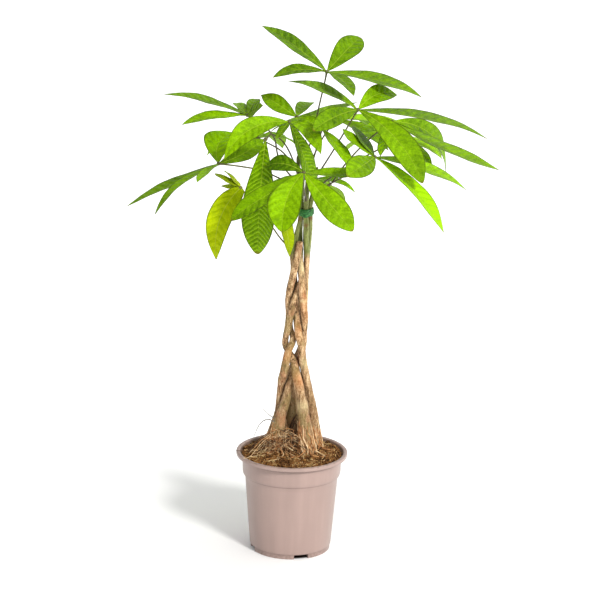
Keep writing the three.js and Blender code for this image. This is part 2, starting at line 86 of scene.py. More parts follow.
# Stem routes from inside the compost upwards: x, y, z and radius, in millimetres. The first is sawn off.
STEMS = {
    1: [(-35, 22, 130, 10), (-35, 22, 158, 12.5), (-32, 22, 188, 11), (-27, 20, 213, 9.6),
        (-22, 18, 236, 8.3), (-21, 16, 254, 7.8), (-20, 14, 271, 7.4), (-19.5, 11.5, 283, 7.2),
        (-19, 4, 295, 7), (-17, -5, 307, 6.9), (-13, -11, 330, 6.8), (-9, -11, 350, 6.4),
        (-3.5, -7, 361, 5.7), (-2, 0, 371, 5.3), (-6, 5, 380, 5.5), (-8.5, 7, 388, 5.9), (-9, 7, 413, 6.3),
        (-10, 3, 435, 6.3), (-8.5, -2, 454, 6.2), (-4, -11, 480, 6.1), (0, -13, 502, 5.9),
        (4, -11, 522, 5.6), (6, -9, 537, 5.2)],
    2: [(26, -11, 130, 10), (26, -11, 171, 12.6), (21, -10, 211, 11.8), (18.5, -10, 237, 10.3),
        (15, -10, 263, 9.2), (9, -9, 289, 8.5), (4, -6, 312, 7.8), (1, -2, 325, 7.2), (-4.5, 6, 337, 6.6),
        (-11.5, 8, 347, 6.1), (-14.8, 4.5, 359, 5.6), (-14, -2, 371, 5.2), (-12, -6, 382, 5.8),
        (-10, -8, 393, 6.3), (-8, -10, 408, 6.4), (-4, -10, 424, 6.3), (0, -7, 437, 6.3), (5, -3, 452, 6.1),
        (11, 2, 470, 5.8), (17, 4, 491, 5.3), (18, 2, 513, 5), (16, -2, 538, 5), (16, -6, 560, 4.8),
        (15, -9, 582, 4.1), (15, -9, 596, 4.1), (16, -11, 620, 3.9), (17, -14, 650, 3.5),
        (18, -16, 672, 2.8)],
    3: [(-30, -4, 130, 10), (-30, -4, 167, 12.5), (-27, -3, 194, 11.5), (-22, -2, 224, 10),
        (-15, -1, 250, 8.5), (-8, 3, 276, 7.6), (-4, 7, 293, 7.4), (1, 11, 311, 7.2), (10.5, 11, 334, 6.7),
        (14.5, 6, 357, 6.3), (15.7, 0, 383, 6), (16.5, -6, 408, 5.9), (14.5, -11, 433, 6.1),
        (12, -14, 454, 6.2), (11, -10, 473, 6), (8, -5, 491, 5.7), (7, 1, 510, 5.3), (6, 7, 534, 4.9),
        (6, 9, 556, 4.4), (7, 10, 579, 4), (7, 10, 596, 4), (8, 16, 625, 3.8), (10, 24, 660, 3.5),
        (12, 30, 700, 2.8)],
    4: [(-3, 36, 130, 10), (-3, 36, 154, 12), (-3, 32, 183, 12), (-2.2, 28, 216, 11.4),
        (-2, 26.5, 244, 10.2), (-3, 25.5, 271, 8.8), (-3.4, 26.6, 300, 7.8), (5, 26, 326, 6.8),
        (13, 23, 350, 6.6), (14, 17, 379, 6.4), (15, 14, 406, 6.3), (15, 12, 432, 6.2), (16, 12, 450, 6),
        (16.5, 14, 469, 5.6), (17.5, 15, 489, 5.2), (18.5, 13, 510, 5), (20.5, 9, 535, 4.9),
        (22, 4, 558, 4.5), (22, 0, 581, 4), (22, 0, 596, 4), (26, 3, 618, 3.8), (30, 6, 645, 3.2),
        (32, 8, 660, 2.8)],
    5: [(40, 22, 130, 10), (40, 22, 160, 12), (38, 19, 189, 11), (35, 15, 220, 9.6), (31, 10, 249, 8.6),
        (25, 5, 278, 7.8), (20, 0, 305, 7.2), (15.5, -6, 331, 6.5), (13.5, -10, 351, 5.8),
        (9, -12, 372, 6.5), (5, -7, 393, 6.2), (3, 0, 413, 6.3), (3, 7, 433, 6.3), (0, 9, 450, 6.1),
        (-3, 8, 469, 5.9), (-3, 5, 491, 5.6), (-5, 2, 512, 5), (-1.5, -1, 536, 4.3), (3, -2, 559, 4),
        (8, -3, 581, 3.8), (8, -3, 596, 3.8), (5, -4, 620, 3.7), (2, -5, 650, 3.4), (0, -6, 682, 2.8)],
}

# Marks on the stems: stem, height and half height in millimetres, and the side they face in degrees.
PATCHES = {
    "warm": [(3, 430, 26, -80), (1, 345, 12, -100), (2, 300, 14, -60), (5, 385, 14, -90)],
    "pale": [(3, 497, 16, -90), (4, 495, 22, -60), (5, 327, 9, -60), (3, 438, 3, -110), (4, 440, 8, -60),
             (2, 255, 8, -120)],
    "joint": [(3, 573, 4, -110), (5, 574, 4.5, -150), (4, 576, 4, -60), (2, 566, 3, -60), (1, 528, 8, -90)],
}

# Leaves: the stem and height where the stalk leaves it, the stalk's further points up to the hub, and the
# leaflets as heading, rise, length, width, roll, arch, bow (degrees and millimetres), tone, 0 dark to 1
# bright, and the outline where that isn't pointed. A leaflet's tone holds painted light and shade as well
# as its own green: leaflets turned away into shade are given bright tones.
LEAVES = {
    "leaf_top": ((3, 672), [(22, 16, 705), (34, 13, 766), (41, 15, 799), (44, 13, 817)], [
        (160, 31, 133, 40, -13, 5, 2, 0.25), (205, -1, 96, 31, -19, 7, -1, 0.25),
        (52, 28, 101, 43, 29, 5, -1, 0.3, "blunt"), (-7, -11, 159, 46, 11, 6, -1, 0.4),
        (-63, -12, 98, 31, -6, 6, 1, 0.3)]),
    "leaf_upper_right": ((2, 628), [(34, -19, 655), (58, -27, 697), (95, -40, 766)], [
        (152, 15, 133, 40, -2, 8, 0, 0.55), (-130, -8, 113, 36, -44, 7, -2, 0.35, "blunt"),
        (43, 10, 90, 33, 46, 8, 9, 0.6), (5, -11, 216, 60, 3, 7, -1, 0.35),
        (-44, -33, 172, 49, 27, 14, 9, 0.45, "blunt")]),
    "leaf_far_right": ((4, 606), [(52, 20, 625), (81, 35, 663), (117, 50, 699), (154, 60, 728)], [
        (-6, -22, 194, 54, 5, -6, -5, 0.54), (36, -38, 151, 44, 52, 24, 11, 0.42),
        (-137, -5, 74, 26, -17, 0, 3, 1), (-104, -26, 92, 30, 31, 1, 3, 0.8)]),
    "leaf_right": ((4, 613), [(50, -28, 638), (80, -48, 660), (108, -67, 681), (123, -90, 700)], [
        (-28, -40, 164, 47, 0, 11, 1, 1), (-119, -8, 93, 43, -35, 4, 2, 0.45, "blunt"),
        (113, 22, 94, 31, 26, -1, 3, 0.25), (11, -19, 161, 47, 13, 7, -1, 0.8),
        (136, 27, 81, 27, 4, -2, 4, 0.65)]),
    "leaf_front": ((2, 606), [(11, -60, 637), (10, -120, 679)], [
        (158, 4, 66, 30, -53, 6, -6, 0.1, "blunt"), (-161, -29, 137, 41, -30, 5, 4, 0.4, "blunt"),
        (-115, -46, 110, 58, -9, 9, -8, 0.6, "blunt"), (-37, -38, 126, 46, 37, 6, -3, 0.55, "blunt"),
        (26, -3, 114, 35, 16, -2, -5, 0.45)]),
    "leaf_hanging": ((5, 630), [(-5, -22, 670), (-22, -40, 708), (-42, -60, 727), (-52, -70, 721)], [
        (-116, -83, 185, 59, -9, 10, 1, 0.45, "blunt")]),
    "leaf_left_front": ((2, 660), [(7, -33, 704), (-2, -48, 729), (-15, -60, 748)], [
        (-154, -23, 124, 38, -47, 13, -15, 0.6), (-49, -25, 87, 29, 21, 9, 7, 0.5),
        (-123, -30, 41, 18, 4, 1, 1, 0.35), (33, -65, 130, 39, 66, 4, -3, 0.55)]),
    "leaf_upper_middle": ((3, 650), [(2, 20, 695), (-3, 20, 740)], [
        (153, 25, 74, 29, -46, 4, 1, 0.4), (74, 7, 84, 28, -1, 5, 0, 0.7),
        (31, 8, 117, 36, -3, -3, -2, 0.65), (-79, -14, 62, 24, 4, 3, -2, 0.5)]),
    "leaf_far_left": (
        (5, 610), [(-15, -4, 634), (-37, -6, 646), (-60, -8, 656), (-94, -14, 663), (-129, -20, 668)], [
        (180, -26, 166, 48, -4, 0, 2, 0.3), (-149, -29, 133, 40, 12, 8, 0, 0.45),
        (-114, -10, 78, 27, 17, 2, 1, 0.8), (70, 25, 88, 60, 6, 6, 15, 0.6, "blunt"),
        (43, 17, 103, 31, 41, 2, -7, 0.35)]),
    "leaf_upper_left": (
        (3, 632), [(-12, 25, 641), (-32, 37, 668), (-40, 45, 699), (-61, 60, 719), (-85, 70, 731)], [
        (176, 13, 143, 42, -3, 5, 1, 0.3), (-155, -3, 117, 36, -10, 5, 0, 0.65),
        (109, 9, 64, 23, 0, 2, 1, 0.65, "blunt"), (78, 16, 64, 23, 0, 3, -1, 0.5, "blunt"),
        (-62, 27, 63, 23, 64, 1, -2, 0.4)]),
    "leaf_low_left": ((5, 516), [(-27, 0, 541), (-38, -3, 557), (-69, -2, 595), (-93, 8, 622)], [
        (-133, -64, 125, 44, -24, 10, -13, 0.65, "square"), (129, -5, 52, 20, -11, -1, 2, 1),
        (132, 12, 68, 24, 7, -1, 2, 1), (111, 10, 76, 26, 34, -1, 2, 1)]),
    "leaf_middle": ((2, 645), [(27, -19, 685), (38, -30, 731)], [
        (-45, -37, 87, 29, 0, 4, -1, 0.65), (67, 19, 57, 22, 6, 2, -2, 0.45),
        (151, 21, 43, 24, -34, 2, 1, 0.45)]),
    "leaf_low_small": ((5, 521), [(-15, -6, 542), (-20, -12, 564), (-26, -10, 590)], [
        (-32, -76, 76, 25, 26, 3, 2, 0.45, "square"), (128, -17, 46, 26, -55, 2, 2, 0.5),
        (111, 14, 66, 27, -15, 3, 2, 0.5), (79, 6, 72, 25, 3, 3, -2, 0.7)]),
    "leaf_back_upper": ((3, 640), [(20, 50, 655), (39, 90, 688), (61, 130, 714)], [
        (15, -12, 150, 44, 8, 12, 0, 0.9), (60, -18, 160, 46, 0, 14, 0, 1),
        (105, -22, 150, 44, 0, 14, 0, 0.9), (150, -15, 130, 40, -8, 10, 0, 0.8),
        (-30, -20, 110, 36, 8, 8, 0, 0.7)]),
    "leaf_back_left": ((3, 645), [(-8, 50, 655), (-30, 80, 671), (-68, 120, 682)], [
        (70, -18, 125, 40, 0, 12, 0, 0.85), (105, -24, 150, 46, 0, 14, 0, 1),
        (145, -22, 115, 42, -5, 12, 0, 0.9), (190, -15, 85, 34, -8, 8, 0, 0.7),
        (30, -12, 75, 32, 5, 8, 0, 0.7)]),
    "leaf_back_low": ((3, 603), [(16, 50, 615), (21, 100, 617)], [
        (35, -35, 90, 38, 5, 10, 0, 0.8), (75, -32, 110, 44, 0, 12, 0, 1), (120, -30, 115, 44, 0, 12, 0, 1),
        (165, -20, 100, 38, -5, 10, 0, 0.8), (-15, -10, 80, 32, 0, 8, 0, 0.7)]),
    "leaf_back_right": ((4, 620), [(50, 45, 630), (87, 90, 646), (165, 150, 677)], [
        (0, -20, 85, 34, 10, 8, 0, 0.8), (40, -22, 115, 42, 5, 12, 0, 0.9), (85, -22, 150, 46, 0, 14, 0, 1),
        (130, -18, 140, 42, -5, 12, 0, 0.9), (-40, -22, 85, 30, 8, 6, 0, 0.7)]),
}
OUTLINES = {"pointed": (0.95, 0.7), "blunt": (0.95, 0.42), "square": (0.4, 0.6)}
YOUNG_LEAVES = ("leaf_low_left", "leaf_low_small")
# Leaflets, counted from 0: those with deep side veins, and the drop of some tips in millimetres.
RIBBED = (("leaf_hanging", 0), ("leaf_left_front", 3))
HOOKS = {("leaf_far_right", 1): 12, ("leaf_far_left", 1): 9, ("leaf_left_front", 0): 5, ("leaf_front", 1): 5,
         ("leaf_right", 3): 5, ("leaf_top", 3): 5, ("leaf_upper_right", 3): 6, ("leaf_low_left", 0): 0}


def paint(red, green, blue):
    """A display colour of 0 to 255 as linear light: ((c + 0.055) / 1.055)^2.4, or c / 12.92 near black."""
    shares = np.array([red, green, blue]) / 255
    light = np.where(shares <= 0.04045, shares / 12.92, ((shares + 0.055) / 1.055) ** 2.4)
    return tuple(float(value) for value in light)


# Shapes

def smooth_step(low, high, value):
    """0 below low, 1 above high, and 3x^2 - 2x^3 between them."""
    share = np.clip((value - low) / (high - low), 0, 1)
    return share * share * (3 - 2 * share)


def through(knots, values, at):
    """A smooth cubic through the values: each span blends its two ends by 2t^3 - 3t^2 + 1 and its slopes by
    t^3 - 2t^2 + t and t^3 - t^2. A knot's slope is that of the line through its two neighbours."""
    knots, values = np.asarray(knots, float), np.asarray(values, float)
    before = np.maximum(np.arange(len(knots)) - 1, 0)
    after = np.minimum(np.arange(len(knots)) + 1, len(knots) - 1)
    slopes = (values[after] - values[before]) / (knots[after] - knots[before])[:, None]
    span = np.clip(np.searchsorted(knots, at, side="right") - 1, 0, len(knots) - 2)
    width = (knots[span + 1] - knots[span])[:, None]
    t = ((at - knots[span]) / width[:, 0])[:, None]
    ends = values[span] * (2 * t**3 - 3 * t**2 + 1) + values[span + 1] * (3 * t**2 - 2 * t**3)
    return ends + width * (slopes[span] * (t**3 - 2 * t**2 + t) + slopes[span + 1] * (t**3 - t**2))


def round_turn(columns):
    """The angles of evenly set columns round an axis: 2 pi c / columns."""
    return np.arange(columns) * 2 * np.pi / columns


def way_along(points, power=1):
    """The way to each point of a path, as the sum of its steps' lengths, each raised to the power."""
    return np.concatenate([[0], np.cumsum(np.linalg.norm(np.diff(points, axis=0), axis=1) ** power)])


def stem_at(number, height):
    """The x, y and radius of a stem at one or more heights."""
    table = np.array(STEMS[number], float)
    return through(table[:, 2], table[:, [0, 1, 3]], np.atleast_1d(np.asarray(height, float)))


def shell(rings, **facts):
    """A closed body from rings x columns x 3 points. Column c joins column c + 1, the last joins the first,
    and the two end rings are closed by one flat face each. Facts hold one number for each point."""
    rows, columns = rings.shape[:2]
    row, column = np.meshgrid(np.arange(rows - 1), np.arange(columns), indexing="ij")
    beside = (column + 1) % columns
    sides = np.stack([row * columns + column, row * columns + beside,
                      (row + 1) * columns + beside, (row + 1) * columns + column], -1).reshape(-1, 4)
    first = np.arange(columns)[::-1][None, :]
    last = (rows - 1) * columns + np.arange(columns)[None, :]
    flat = {key: np.broadcast_to(value, (rows, columns)).reshape(-1) for key, value in facts.items()}
    return {"points": rings.reshape(-1, 3), "faces": [sides, first, last], "facts": flat, "look": 0}


def tube(path, radii, sides, **facts):
    """A round section carried along a path: point = path + r (cos a * side + sin a * up), where side is
    square to the path and to a lead direction, which is near level for a steep path and near upright for any
    other. Facts are one number for each ring."""
    ahead = np.gradient(path, axis=0)
    ahead /= np.linalg.norm(ahead, axis=1)[:, None]
    steep = np.abs(ahead[:, 2]).mean() >= 0.75
    lead = np.array([1.0, 0.23, 0.11] if steep else [0.31, 0.17, 1.0])
    side = np.cross(lead, ahead)
    side /= np.linalg.norm(side, axis=1)[:, None]
    up = np.cross(ahead, side)
    turn = round_turn(sides)
    radii = np.broadcast_to(radii, len(path))[:, None, None]
    spokes = np.cos(turn)[:, None] * side[:, None] + np.sin(turn)[:, None] * up[:, None]
    rings = path[:, None] + radii * spokes
    return shell(rings, **{key: np.broadcast_to(value, len(path))[:, None] for key, value in facts.items()})


def swept(points, steps):
    """A smooth path through points, with each knot placed by the square root of its distance from the
    last."""
    points = np.asarray(points, float)
    knots = way_along(points, 0.5)
    return through(knots, points, np.linspace(0, knots[-1], steps))


def ripple(shape, seed, high, wide, count=7):
    """Soft unevenness over a grid whose columns close on themselves: a sum of cosines of whole turns across
    and random lengths along, scaled to about -1 to 1."""
    draw = np.random.default_rng(seed)
    along = np.linspace(0, 1, shape[0])[:, None]
    across = (np.arange(shape[1]) / shape[1])[None, :]
    total = np.zeros(shape)
    for _ in range(count):
        turns = draw.integers(0, wide + 1)
        total += np.cos(2 * np.pi * (turns * across + draw.uniform(0.3, 1) * high * along + draw.uniform()))
    return total / np.sqrt(2 * count)


def make_piece(name, parts, looks, nodes, crease=40):
    """Joins the parts' points and faces, in millimetres, in one mesh at the origin, and seats it in the
    frame."""
    starts = np.concatenate([[0], np.cumsum([len(part["points"]) for part in parts])])
    points = np.concatenate([part["points"] for part in parts]) * MM
    corners, sizes, look_of = [], [], []
    for start, part in zip(starts, parts):
        for faces in part["faces"]:
            corners.append((faces + start).reshape(-1))
            sizes.append(np.full(len(faces), faces.shape[1]))
            look_of.append(np.full(len(faces), part["look"]))
    corners, sizes, look_of = np.concatenate(corners), np.concatenate(sizes), np.concatenate(look_of)
    mesh = bpy.data.meshes.new(name)
    mesh.vertices.add(len(points))
    mesh.vertices.foreach_set("co", points.astype(np.float32).reshape(-1))
    mesh.loops.add(len(corners))
    mesh.loops.foreach_set("vertex_index", corners.astype(np.int32))
    mesh.polygons.add(len(sizes))
    mesh.polygons.foreach_set("loop_start", np.concatenate([[0], np.cumsum(sizes)[:-1]]).astype(np.int32))
    for look in looks:
        mesh.materials.append(look)
    mesh.polygons.foreach_set("material_index", look_of.astype(np.int32))
    mesh.update(calc_edges=True)
    for key in sorted({key for part in parts for key in part["facts"]}):
        numbers = [part["facts"].get(key, np.zeros(len(part["points"]))) for part in parts]
        layer = mesh.attributes.new(key, "FLOAT", "POINT")
        layer.data.foreach_set("value", np.concatenate(numbers).astype(np.float32))
    mesh.shade_smooth()
    mesh.set_sharp_from_angle(angle=radians(crease))
    piece = bpy.data.objects.new(name, mesh)
    bpy.context.scene.collection.objects.link(piece)
    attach(piece, "root")
    if nodes:
        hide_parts(*nodes)
    return piece


# Materials

class Value:
    """A shader socket that can stand in an expression: +, - and * add the Math node that they need."""

    def __init__(self, finish, socket):
        self.finish, self.socket = finish, socket

    def __add__(self, other):
        return self.finish.maths("ADD", self, other)

    def __sub__(self, other):
        return self.finish.maths("SUBTRACT", self, other)

    def __rsub__(self, other):
        return self.finish.maths("SUBTRACT", other, self)

    def __mul__(self, other):
        return self.finish.maths("MULTIPLY", self, other)

    __radd__ = __add__
    __rmul__ = __mul__


class Tree:
    """A shader node tree and the nodes that a look is built from."""

    def __init__(self, tree):
        self.nodes, self.links = tree.nodes, tree.links

    def add(self, kind, settings=None, sockets=None, output=0):
        """A node of one type: its settings first, then the values or links of its sockets."""
        node = self.nodes.new("ShaderNode" + kind)
        for key, value in (settings or {}).items():
            if key == "stops":
                while len(node.color_ramp.elements) < len(value):
                    node.color_ramp.elements.new(1)
                for element, (place, colour) in zip(node.color_ramp.elements, value):
                    element.position = place
                    element.color = (*colour, 1)
            else:
                setattr(node, key, value)
        for key, value in (sockets or {}).items():
            if isinstance(value, Value):
                self.links.new(value.socket, node.inputs[key])
            else:
                node.inputs[key].default_value = value
        return Value(self, node.outputs[output])

    def maths(self, operation, *values):
        return self.add("Math", {"operation": operation}, dict(enumerate(values)))

    def fact(self, name):
        """A number that the mesh holds at each point."""
        return self.add("Attribute", {"attribute_name": name}, output="Fac")

    def ramp(self, value, low, high):
        """0 where the value is under low, 1 over high, and smooth between them."""
        return self.add("MapRange", {"interpolation_type": "SMOOTHSTEP"},
                        {"Value": value, "From Min": low, "From Max": high})

    def place(self, stretch=(1, 1, 1)):
        """Object coordinates in metres, stretched along the axes."""
        spot = self.add("TexCoord", output="Object")
        return self.add("Mapping", None, {"Vector": spot, "Scale": stretch})

    def noise(self, scale, stretch=(1, 1, 1), detail=3.0, rough=0.55):
        return self.add("TexNoise", None,
                        {"Vector": self.place(stretch), "Scale": scale, "Detail": detail, "Roughness": rough})

    def cells(self, scale, stretch=(1, 1, 1), feature="F1"):
        return self.add("TexVoronoi", {"feature": feature}, {"Vector": self.place(stretch), "Scale": scale})

    def blend(self, share, first, second, how="MIX"):
        """Mixes two colours by a share from 0 to 1."""
        def colour(value):
            return value if isinstance(value, Value) else (*value, 1)
        settings = {"data_type": "RGBA", "blend_type": how}
        return self.add("Mix", settings, {"Factor": share, 6: colour(first), 7: colour(second)}, output=2)

    def varied(self, value, *stops):
        """A colour from a number, by a ramp of (place, colour) stops."""
        return self.add("ValToRGB", {"stops": stops}, {"Fac": value})

    def bump(self, height, depth, strength=1.0, onto=None):
        """Raises the surface in the light by a height from 0 to 1 times a depth in metres."""
        sockets = {"Height": height, "Distance": depth, "Strength": strength}
        if onto is not None:
            sockets["Normal"] = onto
        return self.add("Bump", None, sockets)


class Finish(Tree):
    """One material with a Principled shader. Uniform numbers go on the shader's own sockets."""

    def __init__(self, name, **uniform):
        self.material = bpy.data.materials.new(name)
        self.material.use_nodes = True
        super().__init__(self.material.node_tree)
        self.shader = self.nodes["Principled BSDF"]
        for socket, value in uniform.items():
            self.shader.inputs[socket.replace("_", " ")].default_value = value

    def wear(self, **sockets):
        """Links values to the shader's sockets."""
        for key, value in sockets.items():
            self.links.new(value.socket, self.shader.inputs[key.replace("_", " ")])
        return self.material


def blade_finish(name, dark, middle, bright, vein):
    """A living leaf: tone from the leaflet, which carries painted light and shade, clouded by noise, with a
    paler midrib, thin side veins, a dark edge, a dry brown tip and a dull pale underside. On a ribbed leaflet
    noise bends the side veins, and they show more strongly in some patches than in others: their pale lines
    are painted highlights, and the blade between them is darkened as painted shade."""
    leaf = Finish(name, Specular_IOR_Level=0.16, Specular_Tint=(0.75, 1.0, 0.35, 1.0))
    cloud = leaf.noise(17, detail=4)
    fine = leaf.noise(380, detail=2)
    ribbed = leaf.fact("ribbed")
    bent = (leaf.noise(42, detail=2) - 0.5) * ribbed * 1.6
    phase = leaf.maths("PINGPONG", leaf.fact("phase") + bent, 0.5)
    between = leaf.ramp(phase, 0.0, 0.5)
    mottle = leaf.noise(95, detail=3)
    # The leaflet's tone carries painted light and shade as well as its own green.
    tone = leaf.fact("tone") + (cloud - 0.5) * 0.8 + (mottle - 0.5) * 0.65 + (fine - 0.5) * 0.6
    uneven = leaf.ramp(leaf.noise(36, detail=3), 0.44, 0.58)
    # Painted shade between the side veins, strongest on ribbed leaflets.
    tone = tone - between * (0.05 + ribbed * 0.2)
    colour = leaf.varied(tone, (0.0, dark), (0.5, middle), (1.0, bright))
    # Pale side veins; on ribbed leaflets these pale lines are painted highlights.
    vein_and_highlight = 1 - leaf.ramp(phase, 0.0, 0.06 + ribbed * 0.08)
    colour = leaf.blend(vein_and_highlight * (0.1 + ribbed * uneven * 0.26), colour, vein)
    midrib = 1 - leaf.ramp(leaf.fact("across"), 0.25, 0.9)
    colour = leaf.blend(midrib * (0.14 + 0.45 * (1 - leaf.fact("along"))), colour, vein)
    colour = leaf.blend(leaf.ramp(leaf.fact("edge"), 0.86, 1.0) * 0.8, colour, paint(58, 70, 6))
    dry = leaf.ramp(leaf.fact("along") + (cloud - 0.5) * 0.05, 0.965, 1.0)
    colour = leaf.blend(dry * 0.7, colour, paint(112, 84, 30))
    under = 1 - leaf.fact("upper")
    colour = leaf.blend(under * 0.4, colour, paint(126, 150, 62))
    relief = leaf.bump(mottle * 0.6 + fine * 0.4, 0.0011, 0.4)
    relief = leaf.bump(between + midrib * -0.6, 0.0014, 0.6, relief)
    rough = 0.5 + under * 0.2 + (cloud - 0.5) * 0.2 - ribbed * 0.2
    return leaf.wear(Base_Color=colour, Roughness=rough, Normal=relief)


def stalk_finish(name, low, high):
    """Thin round leaf stalks: streaked along, browner where they leave the stem."""
    stalk = Finish(name, Roughness=0.45)
    patch = stalk.noise(60, (1, 1, 0.4))
    colour = stalk.blend(stalk.ramp(stalk.fact("along") + (patch - 0.5) * 0.6, 0.0, 0.8), low, high)
    return stalk.wear(Base_Color=colour, Normal=stalk.bump(stalk.noise(800, (1, 1, 0.2)), 0.0002, 0.5))


def stem_finish():
    """Bark below and green skin above: tan bark with green and pinkish patches, length streaks, dark pits,
    small level scars, reddish joints under the tie and a warm, fibrous root foot. Bark and skin carry painted
    shade where the stems touch, and the bark is painted darker low down as shade. Heights are in metres."""
    shaded, foot_end, bark_end = (0.24, 0.36), (0.175, 0.215), (0.500, 0.520)
    stem = Finish("stem_skin", Specular_IOR_Level=0.3)
    height = stem.add("SeparateXYZ", None, {"Vector": stem.add("TexCoord", output="Object")}, output="Z")
    patch = stem.noise(30, (1, 1, 0.5), 4, 0.6)
    blush = stem.noise(52, (1, 1, 0.5), 4, 0.6)
    streak = stem.noise(210, (1, 1, 0.12), 5, 0.7)
    speck = stem.noise(430, (1, 1, 0.6), 4, 0.75)
    pit = 1 - stem.ramp(stem.cells(190, (1, 1, 0.6)), 0.08, 0.24)
    grain = streak * 0.6 + speck * 0.4
    bark = stem.varied(grain, (0.4, paint(66, 46, 28)), (0.47, paint(152, 117, 80)),
                       (0.53, paint(202, 163, 120)), (0.61, paint(240, 212, 170)))
    # Painted shade: the bark darker below the shaded heights.
    bark = stem.blend((1 - stem.ramp(height, *shaded)) * 0.46, bark, paint(118, 92, 60))
    bark = stem.blend(stem.ramp(patch, 0.5, 0.58) * 0.5, bark, paint(124, 112, 62))
    bark = stem.blend(stem.ramp(blush, 0.54, 0.66) * 0.35, bark, paint(196, 128, 94))
    bark = stem.blend(pit * stem.ramp(blush, 0.4, 0.5) * 0.6, bark, paint(70, 46, 26))
    bark = stem.blend(stem.fact("warm") * 0.4, bark, paint(214, 136, 76))
    bark = stem.blend(stem.fact("pale") * 0.55, bark, paint(226, 212, 160))
    foot = 1 - stem.ramp(height + (patch - 0.5) * 0.06, *foot_end)
    thread = stem.noise(190, (1, 1, 0.5), 5, 0.75)
    fibre = stem.varied(thread, (0.38, paint(84, 52, 26)), (0.48, paint(172, 120, 72)),
                        (0.6, paint(240, 208, 158)))
    bark = stem.blend(foot * 0.75, bark, fibre)
    # Painted shade where the stems touch, on the bark and further down on the green skin.
    bark = stem.blend(stem.fact("crevice") * 0.85, bark, paint(46, 30, 18))
    skin = stem.varied(streak * 0.5 + patch * 0.5, (0.38, paint(62, 68, 22)), (0.5, paint(112, 120, 56)),
                       (0.62, paint(160, 166, 100)))
    green = stem.ramp(height + (patch - 0.5) * 0.05, *bark_end) * stem.fact("grown")
    colour = stem.blend(green, bark, stem.blend(stem.fact("crevice") * 0.7, skin, paint(38, 40, 18)))
    colour = stem.blend(stem.fact("scar") * 0.55, colour, paint(88, 50, 28))
    colour = stem.blend(stem.fact("joint") * 0.75, colour, paint(118, 62, 34))
    face = stem.varied(stem.noise(300), (0.3, paint(92, 66, 40)), (0.7, paint(176, 140, 96)))
    colour = stem.blend(stem.fact("cut"), colour, face)
    relief = stem.bump(streak, 0.0018, 0.9)
    relief = stem.bump(speck, 0.0012, 0.8, relief)
    return stem.wear(Base_Color=colour, Roughness=0.8 - green * 0.3, Normal=relief)


def tape_finish():
    """Matt green garden tape with fine creases along it."""
    tape = Finish("tie_tape", Roughness=0.5)
    crease = tape.noise(260, (0.5, 0.5, 2.5), 4, 0.6)
    colour = tape.varied(crease, (0.3, paint(6, 66, 22)), (0.55, paint(26, 120, 40)),
                         (0.8, paint(114, 180, 100)))
    return tape.wear(Base_Color=colour, Normal=tape.bump(crease, 0.0012, 0.8))


def pot_finish(colour):
    """Moulded clay-coloured plastic: faint clouds and flow streaks down the wall, compost dust on the lip,
    scuffs at the foot, painted shade on the inside wall, under the foot and in the notches, and dark lines of
    painted shade under the steps. Heights are in metres."""
    lip_rise, foot_rise = (0.1685, 0.1712), (0.0, 0.014)
    pot = Finish("pot_plastic", Specular_IOR_Level=0.55)
    height = pot.add("SeparateXYZ", None, {"Vector": pot.add("TexCoord", output="Object")}, output="Z")
    cloud = pot.noise(10, detail=5)
    flow = pot.noise(42, (1, 1, 0.05), 3)
    shade = pot.blend(pot.ramp(cloud * 0.4 + flow * 0.6, 0.38, 0.6) * 0.4, colour, [c * 0.74 for c in colour])
    inside = pot.fact("inside")
    lip = pot.ramp(height, *lip_rise) * pot.ramp(pot.noise(150), 0.5, 0.62) * 0.35
    # The inside wall is darkened as painted shade; the lip's patchy part of the same blend is compost dust.
    shade = pot.blend(inside * 0.7 + lip, shade, paint(96, 70, 46))
    scuff = (1 - pot.ramp(height, *foot_rise)) * pot.ramp(pot.noise(220), 0.42, 0.6) * 0.5
    shade = pot.blend(scuff, shade, paint(112, 94, 82))
    # Painted shade under the foot and inside the drain notches.
    shade = pot.blend(pot.fact("under") * 0.85, shade, paint(40, 26, 22))
    # Painted shade: dark lines under the lip and the steps.
    shade = pot.blend(pot.fact("line") * 0.55, shade, paint(84, 62, 54))
    rough = 0.27 + flow * 0.14 + inside * 0.35
    relief = pot.bump(pot.noise(900, detail=2), 0.00012, 0.3)
    return pot.wear(Base_Color=shade, Roughness=rough, Normal=relief)


def compost_finish():
    """Crumbly red-brown compost: near black between the crumbs, with pale flecks of fibre and grit."""
    soil = Finish("compost", Roughness=0.95, Specular_IOR_Level=0.15)
    crumb = soil.cells(230)
    grain = soil.noise(620, detail=4, rough=0.7)
    patch = soil.noise(60, detail=4)
    tone = crumb * 0.3 + grain * 0.45 + patch * 0.5
    colour = soil.varied(tone, (0.42, paint(22, 12, 6)), (0.56, paint(86, 54, 28)), (0.7, paint(140, 96, 52)),
                         (0.86, paint(204, 160, 100)))
    relief = soil.bump(grain, 0.002, 0.9)
    return soil.wear(Base_Color=colour, Normal=soil.bump(crumb, 0.002, 0.8, relief))


def fibre_finish(name, low, high):
    """Dry roots and fibres, from one colour to another by noise."""
    fibre = Finish(name, Roughness=0.8)
    colour = fibre.varied(fibre.noise(180, detail=3), (0.35, low), (0.65, high))
    return fibre.wear(Base_Color=colour, Normal=fibre.bump(fibre.noise(900), 0.0004, 0.6))


